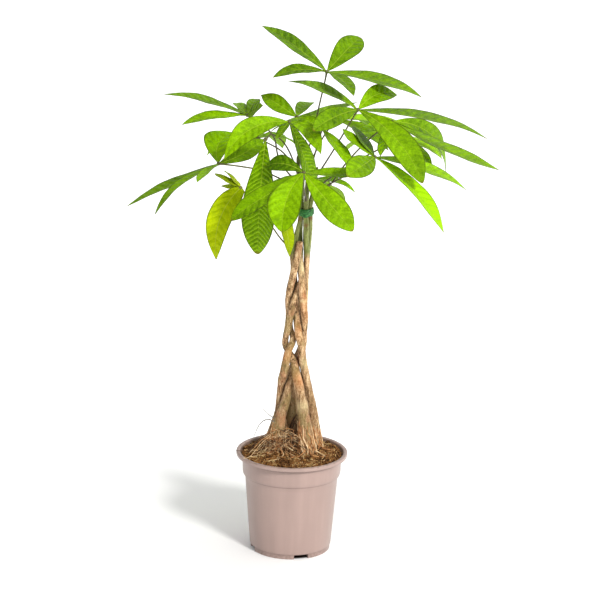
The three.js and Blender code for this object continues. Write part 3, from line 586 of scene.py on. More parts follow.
def floor_finish(settings):
    """White paper with painted light: it glows more the further it is from the pot's axis, so that only the
    pot's shadow shows, and it has painted shade under the pot. Distances are in metres."""
    glow_start, glow_full, painted_shade_end, unshaded_start = 0.36, 0.54, 0.058, 0.066
    paper = Finish("floor_paper", Roughness=0.9, Specular_IOR_Level=0.0,
                   Emission_Strength=settings.floor_glow)
    away = paper.add("VectorMath", {"operation": "LENGTH"}, {0: paper.place()}, output="Value")
    glow = paper.blend(paper.ramp(away, glow_start, glow_full), (0.25, 0.25, 0.25), (1, 1, 1))
    # Painted shade under the pot's foot; the glow beyond it is painted light.
    unshaded = paper.ramp(away, painted_shade_end, unshaded_start)
    return paper.wear(Emission_Color=paper.blend(unshaded, (0, 0, 0), glow),
                      Base_Color=paper.blend(unshaded, paint(46, 32, 26), tuple(settings.floor)))


def surroundings(settings):
    """White surroundings that are darker towards the left."""
    world = bpy.data.worlds.new("white_surroundings")
    world.use_nodes = True
    sky = Tree(world.node_tree)
    across = sky.add("SeparateXYZ", None, {"Vector": sky.add("TexCoord", output="Generated")}, output="X")
    strength = (0.25 + 0.75 * sky.ramp(across, -0.8, 0.35)) * settings.sky
    sky.links.new(strength.socket, sky.nodes["Background"].inputs["Strength"])
    sky.nodes["Background"].inputs["Color"].default_value = (1, 1, 1, 1)
    return world


# Pieces

def blade_share(t, outline):
    """Share of the greatest half width at the share t of the length: (t / w)^a ((1 - t) / (1 - w))^b (1 -
    0.6 t^8), where a and b are the outline's two powers and w = a / (a + b) is where the blade is widest."""
    base, tip = OUTLINES[outline]
    widest = base / (base + tip)
    return (t / widest) ** base * ((1 - t) / (1 - widest)) ** tip * (1 - 0.6 * t**8)


def leaflet(hub, row, turn, settings, ribbed, hook):
    """One leaflet. Its midrib is hub + ahead L t + (up arch + side bow) 4 t (1 - t), and its tip drops by
    the hook times s^2, where s runs from 0 to 1 over the last third. Across it the blade rises by the fold,
    waves towards its edges, and swells by |sin(pi phase)| between side veins that leave the midrib at a
    slant. On a ribbed leaflet the veins lie nearly twice as close and the swell is higher. The upper face
    comes back over the lower one, and both share their edge strips."""
    heading, rise, length, width, roll, arch, bow, tone, outline = (*row, "pointed")[:9]
    h, r, q = np.radians([heading, rise, roll])
    fold = radians(11)
    ahead = np.array([np.cos(r) * np.cos(h), np.cos(r) * np.sin(h), np.sin(r)])
    level = np.array([-np.sin(h), np.cos(h), 0])
    side = level * np.cos(q) + np.cross(ahead, level) * np.sin(q)
    up = np.cross(ahead, side)
    rows = max(26, round(length / settings.blade_step))
    step = np.linspace(0, 1, rows)
    t = (0.55 * step + 0.45 * (0.5 - 0.5 * np.cos(np.pi * step)))[:, None]
    even = np.linspace(-1, 1, BLADE_COLUMNS)[None, :]
    across = np.sin(np.linspace(-np.pi / 2, np.pi / 2, BLADE_COLUMNS))[None, :] * 0.35 + even * 0.65
    hump = 4 * t * (1 - t)
    least = np.where(t < 0.5, 1.2, 0.25)
    half = np.maximum(width / 2 * blade_share(t, outline), least)
    reach = np.abs(across) * half
    spacing = (10.5 + 0.02 * length) / (1 + 0.9 * ribbed)
    phase = (t * length - 0.5 * reach - 0.35 * reach**2 / half.max()) / spacing + 0.35 * turn
    swell = np.abs(np.sin(np.pi * phase)) ** 0.8 * np.abs(across) ** 0.6 * (1 - across**4)
    swell = swell * np.minimum(1, half / 9)
    waves, frills = 1.7, 5.3
    wave = np.where(across > 0, np.sin(2 * np.pi * waves * t + turn), np.cos(2 * np.pi * waves * t + turn))
    frill = 0.16 * np.sin(2 * np.pi * frills * t + 2 * turn + np.sign(across)) * across**4
    relief = settings.vein_relief / MM * (1 + 0.8 * ribbed)
    waved = np.sin(np.pi * t) * (0.9 * wave * np.abs(across) ** 1.7 + frill)
    height = reach * np.sin(fold) + waved + relief * swell
    thick = settings.blade_thickness / MM / 2 * (1 - 0.5 * across**2) * np.ones_like(t)
    rib_size = 1.2
    rib = rib_size * (1 - t) * np.exp(-((reach / rib_size) ** 2))
    middle = hub + ahead * length * t + (up * arch + side * bow) * hump
    hook_start = 0.66
    middle[:, 2] -= hook * np.clip((t[:, 0] - hook_start) / (1 - hook_start), 0, 1) ** 2
    base = middle[:, None] + side * (across * half * np.cos(fold))[..., None]
    upper = base + up * (height + thick)[..., None]
    lower = base + up * (height - thick - rib)[..., None]
    ring = np.concatenate([lower, upper[:, ::-1]], 1)

    def both(value):
        value = np.broadcast_to(value, (rows, BLADE_COLUMNS))
        return np.concatenate([value, value[:, ::-1]], 1)

    face = np.repeat([0.0, 1.0], BLADE_COLUMNS)[None, :]
    return shell(ring, along=both(t), across=both(reach), edge=both(np.abs(across)), phase=both(phase),
                 tone=tone, upper=face, ribbed=ribbed)


def leaf_piece(name, settings, looks):
    """A compound leaf: its stalk swells where it leaves the stem and at the hub, where the leaflets meet."""
    (stem, height), points, leaflets = LEAVES[name]
    x, y, _ = stem_at(stem, height)[0]
    path = swept([(x, y, height), *points], STALK_STEPS)
    run = way_along(path)
    swelling = 0.9 * np.exp(-run / 9) + 0.7 * np.exp(-(run[-1] - run) / 5)
    parts = [tube(path, settings.stalk_radius / MM * (1 + swelling), 12, along=run / run[-1])]
    parts[0]["look"] = 1
    hub = np.array(points[-1], float)
    slope = np.linspace(0, np.pi, 10)
    upright = np.outer(-np.cos(slope) * HUB_RADIUS, (0, 0, 1))
    knot = tube(hub + upright, 0.1 + HUB_RADIUS * np.sin(slope), 14, along=0.8)
    knot["look"] = 1
    parts.append(knot)
    for turn, row in enumerate(leaflets):
        ribbed = float((name, turn) in RIBBED)
        parts.append(leaflet(hub, row, turn, settings, ribbed, HOOKS.get((name, turn), 2.0)))
    return make_piece(f"{name}_fine", parts, looks, [name])


# In millimetres: how near to another stem the bark is darkened as painted shade, the height where the foot's
# flutes begin, and the way down over which they grow to their full depth.
CREVICE_SHADE_WIDTH = 3
FLUTES_START, FLUTES_RUN = 265, 100
# The sawn top of the first stem: rings as a share of its rim, and their height over it in millimetres.
SAWN_TOP = ((0.9, 0.3), (0.55, -0.4), (0.2, -0.9))


def shade_between_stems(number, route, radius, turn, z):
    """Painted shade where stems touch: how deep each point of a stem lies between stems, exp(-(g / w)^2),
    where g is its level distance to the nearest other stem's skin at the same height and w is the width of
    the shaded strip."""
    x, y = route[:, :1] + radius * np.cos(turn), route[:, 1:2] + radius * np.sin(turn)
    nearest = np.full(x.shape, np.inf)
    for other, table in STEMS.items():
        if other != number:
            beside = stem_at(other, z)
            gap = np.hypot(x - beside[:, :1], y - beside[:, 1:2]) - beside[:, 2:3]
            nearest = np.where(z[:, None] < table[-1][2], np.minimum(nearest, gap), nearest)
    return np.exp(-((np.maximum(nearest, 0) / CREVICE_SHADE_WIDTH) ** 2))


def leaf_scars(z, turn, high, draw):
    """Seven leaf scars at drawn heights: narrow bells exp(-(dz / w)^2), each round part of the stem."""
    scar = np.zeros((len(z), len(turn)))
    for place in draw.uniform(245, high - 15, 7):
        around = 0.5 + 0.5 * np.cos(turn - draw.uniform(0, 6.3))
        depth, tall = draw.uniform(0.3, 1), draw.uniform(0.8, 1.6)
        scar += depth * np.exp(-(((z[:, None] - place) / tall) ** 2)) * around**2.5
    return scar


def stem_marks(number, z, turn, soft):
    """The marks of each kind on a stem: bells exp(-(dz / h)^2) on one side, made uneven by soft noise."""
    patches = {}
    for key, marks in PATCHES.items():
        patches[key] = np.zeros((len(z), len(turn)))
        for stem, place, tall, lean in marks:
            if stem == number:
                around = 0.5 + 0.5 * np.cos(turn - radians(lean))
                patches[key] += np.exp(-(((z[:, None] - place) / tall) ** 2)) * around * (0.85 + 0.3 * soft)
    return patches


def stem_piece(number, settings, look):
    """A trunk and its green shoot in one skin: level rings round the route. The radius is fluted towards the
    soil, rippled by soft noise, and ringed by leaf scars. A shoot's tip is rounded, and the first stem has a
    sawn top of three more rings."""
    low, high = STEMS[number][0][2], STEMS[number][-1][2]
    rows = round((high - low) / STEM_ROW)
    shape = (rows, STEM_COLUMNS)
    z = np.linspace(low, high, rows)
    route = stem_at(number, z)
    turn = round_turn(STEM_COLUMNS)
    near = smooth_step(0, 1, (FLUTES_START - z) / FLUTES_RUN)[:, None]
    draw = np.random.default_rng(STEM_SEED + number)
    flute = sum(draw.uniform(0.4, 1) * np.cos(k * turn + draw.uniform(0, 6.3) + 0.012 * z[:, None])
                for k in (3, 5, 7))
    soft = ripple(shape, SOFT_SEED + number, (high - low) / 26, 3, 9)
    rough = ripple(shape, ROUGH_SEED + number, (high - low) / 7, 9, 12)
    radius = route[:, 2:3] * (1 + settings.root_flutes * near * flute + 0.035 * soft)
    radius = radius + settings.bark_relief / MM * rough * (0.5 + near)
    scar = leaf_scars(z, turn, high, draw)
    patches = stem_marks(number, z, turn, soft)
    radius = radius + 0.5 * scar
    radius = radius + 0.7 * patches["joint"]
    # Painted shade along the lines where stems touch.
    crevice = shade_between_stems(number, route, radius, turn, z)
    cut = np.zeros(shape)
    if number == 1:
        tail = np.exp(-(high - z[:, None]) / 1.2)
        radius = radius * (1 - 0.12 * tail)
    else:
        radius = radius * np.sqrt(np.clip((high + 0.2 - z) / 5, 0.01, 1))[:, None]
    points = np.stack([route[:, :1] + radius * np.cos(turn), route[:, 1:2] + radius * np.sin(turn),
                       np.broadcast_to(z[:, None], radius.shape)], -1)
    if number == 1:
        centre = points[-1].mean(0)
        lids = [centre + (points[-1] - centre) * share + np.array([0, 0, drop])
                for share, drop in SAWN_TOP]
        points = np.concatenate([points, np.array(lids)])
        more = ((0, len(SAWN_TOP)), (0, 0))
        scar, crevice, *spread = (np.pad(value, more) for value in (scar, crevice, *patches.values()))
        patches = dict(zip(patches, spread))
        cut = np.pad(cut, more, constant_values=1)
    patches = {key: np.clip(value, 0, 1) for key, value in patches.items()}
    grown = float(number > 1)
    part = shell(points, scar=np.clip(scar, 0, 1), crevice=crevice, cut=cut, grown=grown, **patches)
    nodes = [f"trunk_{number}"] + ([f"shoot_{number}"] if number > 1 else [])
    return make_piece(f"stem_{number}", [part], [look], nodes)


# The tape's three turns: the height of each over the tie's middle and its half width, in millimetres.
TAPE_TURNS = ((-1.6, 4.6), (1.4, 4.2), (0.2, 3.4))


def tie_piece(settings, look):
    """Tape drawn taut round the four shoots: its path is c + n (r + gap) for the shoot that reaches furthest
    along each outward direction n. Three turns lie on each other, each wandering a little up and down."""
    shoots = np.array([stem_at(number, TIE_HEIGHT)[0] for number in (2, 3, 4, 5)])
    lean = round_turn(720)
    out = np.stack([np.cos(lean), np.sin(lean)], 1)
    parts = []
    for layer, (lift, half_width) in enumerate(TAPE_TURNS):
        gap = 0.9 + 0.55 * layer
        reach = shoots[:, 2] + gap
        furthest = np.argmax(out @ shoots[:, :2].T + reach, axis=1)
        ring = shoots[furthest, :2] + out * reach[furthest, None]
        closed, facing = np.vstack([ring, ring[:1]]), np.vstack([out, out[:1]])
        run = way_along(closed)
        even = np.linspace(0, run[-1], TIE_COLUMNS + 1)[:-1]
        path = np.stack([np.interp(even, run, line) for line in closed.T], 1)
        normal = np.stack([np.interp(even, run, line) for line in facing.T], 1)
        normal /= np.linalg.norm(normal, axis=1)[:, None]
        turn = round_turn(TIE_COLUMNS)
        centre = TIE_HEIGHT + lift + 0.9 * np.sin(turn + 2 * layer) + 0.35 * np.sin(5 * turn + layer)
        tall = half_width + 0.4 * np.sin(3 * turn + layer)
        across = np.array([(0, -1), (0.45, -0.9), (0.55, 0), (0.45, 0.9), (0, 1), (-0.1, 0)])
        pucker = 1 + 0.5 * np.sin(11 * turn + layer)[:, None] * np.abs(across[:, 1])
        push = across[:, 0] * settings.tape_thickness / MM * pucker
        points = np.concatenate([
            path[:, None] + normal[:, None] * push[..., None],
            (centre[:, None] + across[:, 1] * tall[:, None])[..., None]], -1)
        part = shell(points)
        count = points.shape[1]
        first, last = np.arange(count), (TIE_COLUMNS - 1) * count + np.arange(count)
        seam = np.stack([last, np.roll(last, -1), np.roll(first, -1), first], -1)
        part["faces"] = [part["faces"][0], seam]
        parts.append(part)
    return make_piece("tie_tape", parts, [look], ["tie"])


# The pot's section as radius and height in millimetres, up the outside and then down the inside.
POT_OUTSIDE_POINTS = 41
POT_PROFILE = [
    (0, 0), (41.6, 0), (42.2, 0.4), (45.6, 7.4), (46.4, 8), (59.2, 8), (60, 7.6), (61.6, 0.5), (62.2, 0),
    (66.2, 0), (67, 0.5), (67.1, 1.5), (67.1, 7.4), (67.3, 8), (68.4, 8.6), (68.7, 10), (71.4, 42),
    (74.8, 84), (77.8, 123.5), (78.2, 125.5), (79.9, 130.6), (80.1, 131.6), (80.3, 132.1), (81.4, 132.4),
    (81.8, 133), (82.7, 137), (83.2, 150), (83.4, 158.5), (83.4, 159.6), (83.4, 160.8), (83.5, 162.6),
    (83.5, 163.8), (84.4, 164.4), (92.4, 164.5), (93.3, 164.9), (93.8, 166), (93.8, 169.2), (93.4, 170.4),
    (92.4, 171), (88.6, 171), (87.4, 170.4), (86.6, 169.2), (84, 164), (82.2, 160), (80.8, 143),
    (80.4, 139), (78.2, 132), (75.8, 125.2), (75.3, 122), (65.9, 14), (65.4, 12), (64.1, 10.6), (62, 10.4),
    (47.2, 10.4), (46.4, 9.8), (43.4, 2.8), (42.6, 2.4), (0.01, 2.4),
]
# Painted shade: dark lines under the pot's steps, as height and half width in millimetres.
POT_SHADE_LINES = ((8, 0.7), (131.9, 0.7), (162, 2))


def pot_piece(settings, look):
    """The pot: one profile of radius and height turned round the axis. At four notches the foot's lowest
    points are lifted to the notch's height, on columns set close on both sides of each notch's edge."""
    profile = np.array(POT_PROFILE, float)
    front, notch_turn, column_turn, beside_edge = 270, 17, 2.5, 0.15
    foot_inside, under_radius, under_top = 58, 62, 9
    half_notch = np.degrees(np.arcsin(NOTCH_WIDTH / 2 / FOOT_RADIUS))
    centres = front + notch_turn + 90 * np.arange(4)
    edges = np.concatenate([centres - half_notch, centres + half_notch])
    plain = np.arange(0, 360, column_turn)
    angles = np.sort(np.concatenate([plain, (edges - beside_edge) % 360, (edges + beside_edge) % 360]))
    away = np.abs((angles[:, None] - centres[None] + 180) % 360 - 180).min(1)
    notch = away < half_notch
    radius = np.broadcast_to(np.maximum(profile[:, 0], 0.01)[:, None], (len(profile), len(angles)))
    height = np.repeat(profile[:, 1:], len(angles), 1)
    foot = (profile[:, 0] > foot_inside) & (profile[:, 1] < NOTCH_HEIGHT)
    height = np.where(foot[:, None] & notch[None, :], NOTCH_HEIGHT, height)
    wobble = 1 + settings.moulding_wobble * np.cos(2 * np.radians(angles) + 0.6)
    x = radius * wobble * np.cos(np.radians(angles))
    y = radius * wobble * np.sin(np.radians(angles))
    inside = (np.arange(len(profile)) >= POT_OUTSIDE_POINTS).astype(float)[:, None]
    # Painted shade: points under the foot and in the notches, and dark lines under the steps.
    under = ((profile[:, 0] < under_radius) & (profile[:, 1] < under_top)).astype(float)[:, None]
    line = sum(np.exp(-(((profile[:, 1] - z) / wide) ** 2)) for z, wide in POT_SHADE_LINES)
    line = line[:, None] * (1 - inside)
    part = shell(np.stack([x, y, height], -1), inside=inside, under=under, line=line)
    return make_piece("pot_shell", [part], [look], ["pot"], crease=35)


# The compost's wall as radius and height, its folded waves as length and depth, and one heap beside the
# stems as x, y, height and radius, all in millimetres.
COMPOST_WALL = [(0.01, 2.8), (43, 2.8), (46.4, 10.8), (63.6, 10.8), (65.4, 13), (74.9, 123), (79.9, 139),
                (81.6, 159), (83.8, 165)]
COMPOST_WAVES = ((30, 1.6), (17, 1.3), (9, 1.1), (5, 0.8), (3.2, 0.5))
SIDE_HEAP = (-46, 44, 4, 15)


def compost_top(x, y):
    """Height of the compost in millimetres: its edge plus a mound times 1 - (r / R)^2, with a heap of h
    exp(-(d / w)^2) round each stem and one beside them, broken by folded waves of random direction."""
    draw = np.random.default_rng(COMPOST_TOP_SEED)
    radius = np.hypot(x, y)
    height = COMPOST_EDGE + COMPOST_MOUND * (1 - (radius / COMPOST_RADIUS) ** 2)
    heaps = [(*stem_at(number, SOIL)[0][:2], 3.5, 17) for number in STEMS]
    for heap_x, heap_y, tall, wide in [*heaps, SIDE_HEAP]:
        height = height + tall * np.exp(-((x - heap_x) ** 2 + (y - heap_y) ** 2) / wide**2)
    rough = np.zeros_like(x)
    for length, depth in COMPOST_WAVES:
        for _ in range(3):
            lean, shift = draw.uniform(0, 2 * np.pi, 2)
            wave = 2 * np.pi * (x * np.cos(lean) + y * np.sin(lean)) / length + shift
            bend = 1.3 * np.sin(2 * np.pi * (y * np.cos(lean) - x * np.sin(lean)) / (1.7 * length))
            rough = rough + depth * (np.abs(np.sin(0.5 * wave + bend)) - 0.6)
    return height + 0.75 * rough


def crumb(centre, size, draw):
    """A small crumb of a few faces: rings of a ball, each point pushed in or out by a random share."""
    rows, columns = 4, 6
    slope = np.linspace(0.15, np.pi - 0.15, rows)[:, None]
    turn = round_turn(columns)[None, :] + draw.uniform(0, 6)
    radius = size * draw.uniform(0.7, 1.2, (rows, columns))
    flat = draw.uniform(0.5, 0.9)
    ball = np.stack([radius * np.sin(slope) * np.cos(turn), radius * np.sin(slope) * np.sin(turn),
                     -flat * size * np.cos(slope) * np.ones_like(turn)], -1)
    return shell(np.asarray(centre) + ball)


def compost_piece(settings, looks):
    """The compost: a closed body whose wall follows the pot's inside and whose top is the compost's height.
    Crumbs and fibres are scattered on it by a seeded draw u. A crumb's size is 0.8 + 3.4 u^3 mm, so most are
    small, and a fibre is a wavy path of 5 to 19 mm that rises a little at its middle."""
    draw = np.random.default_rng(SCATTER_SEED)
    turn = round_turn(COMPOST_COLUMNS)
    around = np.stack([np.cos(turn), np.sin(turn)], 1)
    rings = [np.column_stack([r * around, np.full_like(turn, z)]) for r, z in COMPOST_WALL]
    for r in np.linspace(COMPOST_RADIUS, 0.3, COMPOST_RINGS):
        rings.append(np.column_stack([r * around, compost_top(*(r * around).T)]))
    parts = [shell(np.array(rings))]
    for _ in range(settings.crumbs):
        r, a = CRUMB_REACH * np.sqrt(draw.uniform()), draw.uniform(0, 2 * np.pi)
        x, y = r * np.cos(a), r * np.sin(a)
        size = 0.8 + 3.4 * draw.uniform() ** 3
        z = float(compost_top(np.array(x), np.array(y))) + 0.35 * size
        parts.append(crumb((x, y, z), size, draw))
    for _ in range(settings.fibres):
        r = FIBRE_REACH * np.sqrt(draw.uniform())
        a, lean = draw.uniform(0, 2 * np.pi), draw.uniform(0, 2 * np.pi)
        x, y = r * np.cos(a), r * np.sin(a)
        run = np.linspace(-0.5, 0.5, 7) * draw.uniform(5, 19)
        sway = draw.uniform(-2.5, 2.5) * np.cos(run / 4)
        px, py = x + run * np.cos(lean) - sway * np.sin(lean), y + run * np.sin(lean) + sway * np.cos(lean)
        inside = np.minimum(1, CRUMB_REACH / np.hypot(px, py))
        px, py = px * inside, py * inside
        path = np.stack([px, py, compost_top(px, py) + 0.5 + draw.uniform(0, 1.2) * np.cos(run / 5)], 1)
        part = tube(path, draw.uniform(0.3, 0.75) * np.linspace(1, 0.5, 7), 4)
        part["look"] = 1 + int(draw.uniform() < 0.45)
        parts.append(part)
    return make_piece("compost", parts, looks, ["soil"], crease=60)


# Single roots: kind, radius and route in millimetres.
ROOT_KINDS = ("fibre", "hair", "pale")
ROOTS = [
    ("fibre", 2.2, [(-44, 6, 181), (-38, -12, 175), (-46, -24, 171), (-54, -32, 167)]),
    ("fibre", 2.4, [(-14, -10, 194), (-24, -17, 182), (-36, -20, 174), (-48, -24, 169)]),
    ("fibre", 1.6, [(28, -22, 181), (33, -28, 173), (45, -30, 171), (60, -26, 170), (70, -20, 167)]),
    ("fibre", 1.3, [(24, -22, 181), (14, -32, 173), (4, -38, 172), (-6, -38, 170)]),
    ("fibre", 1.2, [(46, 12, 179), (55, 6, 173), (66, 8, 171), (74, 12, 168)]),
    ("fibre", 1.1, [(-12, 20, 182), (-14, 2, 176), (-8, -12, 175), (-10, -24, 172)]),
    ("pale", 1.2, [(38, -16, 178), (50, -22, 173), (58, -34, 171), (52, -48, 169)]),
    ("pale", 1.0, [(-20, -16, 180), (-14, -30, 174), (-22, -44, 171), (-38, -52, 169)]),
    ("pale", 0.9, [(4, 24, 186), (6, 4, 176), (12, -16, 174), (20, -40, 171), (16, -60, 168)]),
    ("hair", 1.0, [(-31, -14, 226), (-39, -15, 230), (-48, -15, 228), (-55, -15, 221), (-60, -15, 211),
                   (-64, -15, 200)]),
    ("hair", 0.8, [(-30, -13, 232), (-37, -14, 236), (-44, -15, 243), (-51, -16, 250)]),
]


def foot_fibre(number, settings, draw):
    """One thin root that runs down a trunk's foot. It stays at the trunk's radius at that height, and over
    its last part it spreads outwards by the square of the way it has come."""
    top = draw.uniform(178, 232)
    z = np.linspace(top, ROOT_END, 17)
    gone = (top - z) / (top - ROOT_END)
    lean = draw.uniform(0, 2 * np.pi) + draw.uniform(-1.3, 1.3) * gone * (top - ROOT_END) / 50
    lean = lean + 0.12 * np.sin(z / draw.uniform(3, 7) + draw.uniform(0, 6.3))
    route = stem_at(number, z)
    reach = route[:, 2] * 0.97 + 0.3 + draw.uniform(0, settings.root_spread / MM) * gone**2
    path = np.stack([route[:, 0] + reach * np.cos(lean), route[:, 1] + reach * np.sin(lean), z], 1)
    return tube(path, draw.uniform(0.45, 1.15) * (0.35 + 0.65 * np.sin(np.pi * (0.15 + 0.7 * gone))), 6)


def tangle_root(draw):
    """One thin curled root between the feet: a smooth path through five points, each a drift and a random
    step from the last. Three in ten are coloured dark as painted shade and stand in the gap behind, under a
    crest that falls by 3 mm for each millimetre from the gap's middle. The rest lie against the left foot, in
    a heap that bends round it, slopes outwards, and has a crest that falls with the square of the distance
    from its middle."""
    behind = draw.uniform() < 0.3
    if behind:
        z = draw.uniform(176, 236)
        spot = np.array([draw.uniform(0, 12), draw.uniform(4, 18), z])
    else:
        top, middle, slope = 211, -18, 0.22
        z, x = draw.uniform(172, top), draw.uniform(-38, 3)
        spot = np.array([x, draw.uniform(-19, -13) + 0.025 * (x - middle) ** 2 - (top - z) * slope, z])
    drift = draw.normal(0, 1, 3) * (5, 3, 5)
    steps = drift + draw.normal(0, 1, (5, 3)) * (2.5, 2, 1.5)
    points = spot + np.cumsum(steps, axis=0)
    crest = 242 - 3 * np.abs(points[:, 0] - 7) if behind else 215 - 0.014 * (points[:, 0] + 17) ** 2
    crest = crest - draw.uniform(0, 30) * draw.uniform()
    points[:, 2] = np.clip(points[:, 2], 171, np.maximum(crest, 173))
    part = tube(swept(points, 14), draw.uniform(0.4, 0.9) if behind else draw.uniform(0.25, 0.6), 5)
    part["look"] = 3 if behind else int(draw.choice([0, 2, 3]))
    return part


def root_piece(settings, looks):
    """Loose roots at the trunks' feet: tapered tubes on smooth paths, many thin ones on each foot, and a
    tangle between and before the feet. The looks are brown, grey, pale and dark, the dark one painted shade,
    and the three kinds of single root take the first three of them."""
    parts = []
    for kind, radius, points in ROOTS:
        uneven = 0.08 * np.sin(np.arange(ROOT_STEPS) * 1.7)
        part = tube(swept(points, ROOT_STEPS), radius * np.linspace(1, 0.45, ROOT_STEPS) + uneven, 8)
        part["look"] = ROOT_KINDS.index(kind)
        parts.append(part)
    draw = np.random.default_rng(ROOT_SEED)
    for number in STEMS:
        for _ in range(settings.foot_roots):
            part = foot_fibre(number, settings, draw)
            part["look"] = 2 * int(draw.uniform() < 0.6)
            parts.append(part)
    for _ in range(settings.tangle_roots):
        parts.append(tangle_root(draw))
    return make_piece("loose_roots", parts, looks, [])


# Add-on

class LeafSettings(bpy.types.PropertyGroup):
    blade_thickness: FloatProperty(
        name="Blade thickness", description="Thickness of a leaflet at its midrib",
        default=0.0008, unit="LENGTH")
    blade_step: FloatProperty(
        name="Blade step", description="Length of one row of faces along a leaflet, in millimetres",
        default=2.3)
    vein_relief: FloatProperty(
        name="Vein relief", description="Swell of the blade between its side veins",
        default=0.00042, unit="LENGTH")
    stalk_radius: FloatProperty(
        name="Stalk radius", description="Radius of a leaf stalk at its middle",
        default=0.0013, unit="LENGTH")
    dark: FloatVectorProperty(
        name="Dark green", description="Leaflets in shade", default=paint(60, 94, 0), subtype="COLOR")
    middle: FloatVectorProperty(
        name="Middle green", description="Most leaflets", default=paint(115, 158, 0), subtype="COLOR")
    bright: FloatVectorProperty(
        name="Bright green", description="Leaflets in full light",
        default=paint(155, 209, 0), subtype="COLOR")
    vein: FloatVectorProperty(
        name="Vein green", description="Midribs and side veins", default=paint(180, 206, 60), subtype="COLOR")


class StemSettings(bpy.types.PropertyGroup):
    root_flutes: FloatProperty(
        name="Root flutes", description="Depth of the flutes at the foot, as a share of the radius",
        default=0.06)
    bark_relief: FloatProperty(
        name="Bark relief", description="Height of the bark's unevenness", default=0.0003, unit="LENGTH")
    foot_roots: IntProperty(name="Foot roots", description="Thin roots on each trunk's foot", default=34)
    tangle_roots: IntProperty(
        name="Tangled roots", description="Curled thin roots between the feet", default=300)
    root_spread: FloatProperty(
        name="Root spread", description="How far the thin roots spread at the soil",
        default=0.007, unit="LENGTH")
    tape_thickness: FloatProperty(
        name="Tape thickness", description="Thickness of one turn of the tie", default=0.0011, unit="LENGTH")


class PotSettings(bpy.types.PropertyGroup):
    plastic: FloatVectorProperty(
        name="Plastic", description="Colour of the pot", default=paint(168, 143, 135), subtype="COLOR")
    moulding_wobble: FloatProperty(
        name="Moulding wobble", description="How far the round is out of true, as a share", default=0.0012)


class CompostSettings(bpy.types.PropertyGroup):
    crumbs: IntProperty(name="Crumbs", description="Loose crumbs on the compost", default=900)
    fibres: IntProperty(name="Fibres", description="Pale and brown fibres on the compost", default=430)


class StageSettings(bpy.types.PropertyGroup):
    key_strength: FloatProperty(
        name="Key light", description="Strength of the light from the right", default=2.4)
    key_size: FloatProperty(
        name="Key size", description="Angle that the key light fills", default=radians(10), subtype="ANGLE")
    fill_power: FloatProperty(
        name="Fill light", description="Power of the light at the front left", default=1.25, subtype="POWER")
    edge_power: FloatProperty(
        name="Edge light", description="Power of the light at the left", default=0.3, subtype="POWER")
    sky: FloatProperty(name="Sky", description="Strength of the white surroundings", default=0.98)
    floor_glow: FloatProperty(
        name="Floor glow", description="Light from the floor away from the pot", default=0.4)
    floor: FloatVectorProperty(
        name="Floor", description="Colour of the floor", default=(0.93, 0.93, 0.93), subtype="COLOR")


class MONEYTREE_OT_pot(bpy.types.Operator):
    """Builds the nursery pot"""
    bl_idname = "moneytree.pot"
    bl_label = "Pot"

    def execute(self, context):
        settings = context.scene.money_tree_pot
        pot_piece(settings, pot_finish(tuple(settings.plastic)))
        return {"FINISHED"}


class MONEYTREE_OT_compost(bpy.types.Operator):
    """Builds the compost with its crumbs and fibres"""
    bl_idname = "moneytree.compost"
    bl_label = "Compost"

    def execute(self, context):
        pale = fibre_finish("pale_fibre", paint(176, 136, 78), paint(232, 200, 142))
        brown = fibre_finish("brown_fibre", paint(112, 72, 36), paint(172, 122, 68))
        compost_piece(context.scene.money_tree_compost, [compost_finish(), pale, brown])
        return {"FINISHED"}


class MONEYTREE_OT_stems(bpy.types.Operator):
    """Builds the twined trunks with their green shoots"""
    bl_idname = "moneytree.stems"
    bl_label = "Stems"

    def execute(self, context):
        look = stem_finish()
        for number in STEMS:
            stem_piece(number, context.scene.money_tree_stem, look)
        return {"FINISHED"}


class MONEYTREE_OT_roots(bpy.types.Operator):
    """Builds the loose roots at the trunks' feet"""
    bl_idname = "moneytree.roots"
    bl_label = "Loose roots"

    def execute(self, context):
        brown = fibre_finish("brown_root", paint(128, 80, 42), paint(206, 148, 92))
        grey = fibre_finish("dry_root_hair", paint(84, 76, 66), paint(132, 124, 112))
        pale = fibre_finish("pale_root", paint(192, 146, 96), paint(242, 216, 172))
        # Painted shade: roots coloured dark for the shade between and behind the feet.
        dark = fibre_finish("shaded_root", paint(62, 42, 26), paint(112, 80, 48))
        root_piece(context.scene.money_tree_stem, [brown, grey, pale, dark])
        return {"FINISHED"}


class MONEYTREE_OT_tie(bpy.types.Operator):
    """Builds the tie round the shoots"""
    bl_idname = "moneytree.tie"
    bl_label = "Tie"

    def execute(self, context):
        tie_piece(context.scene.money_tree_stem, tape_finish())
        return {"FINISHED"}


class MONEYTREE_OT_leaves(bpy.types.Operator):
    """Builds the compound leaves on their stalks"""
    bl_idname = "moneytree.leaves"
    bl_label = "Leaves"

    def execute(self, context):
        settings = context.scene.money_tree_leaf
        greens = [settings.dark[:], settings.middle[:], settings.bright[:], settings.vein[:]]
        grown = [blade_finish("leaf_blade", *greens),
                 stalk_finish("leaf_stalk", paint(70, 58, 34), paint(86, 86, 36))]
        greens = [paint(124, 144, 6), paint(160, 182, 4), paint(196, 212, 0), paint(214, 222, 96)]
        young = [blade_finish("young_blade", *greens),
                 stalk_finish("young_stalk", paint(104, 100, 52), paint(128, 124, 60))]
        for name in LEAVES:
            leaf_piece(name, settings, young if name in YOUNG_LEAVES else grown)
        return {"FINISHED"}


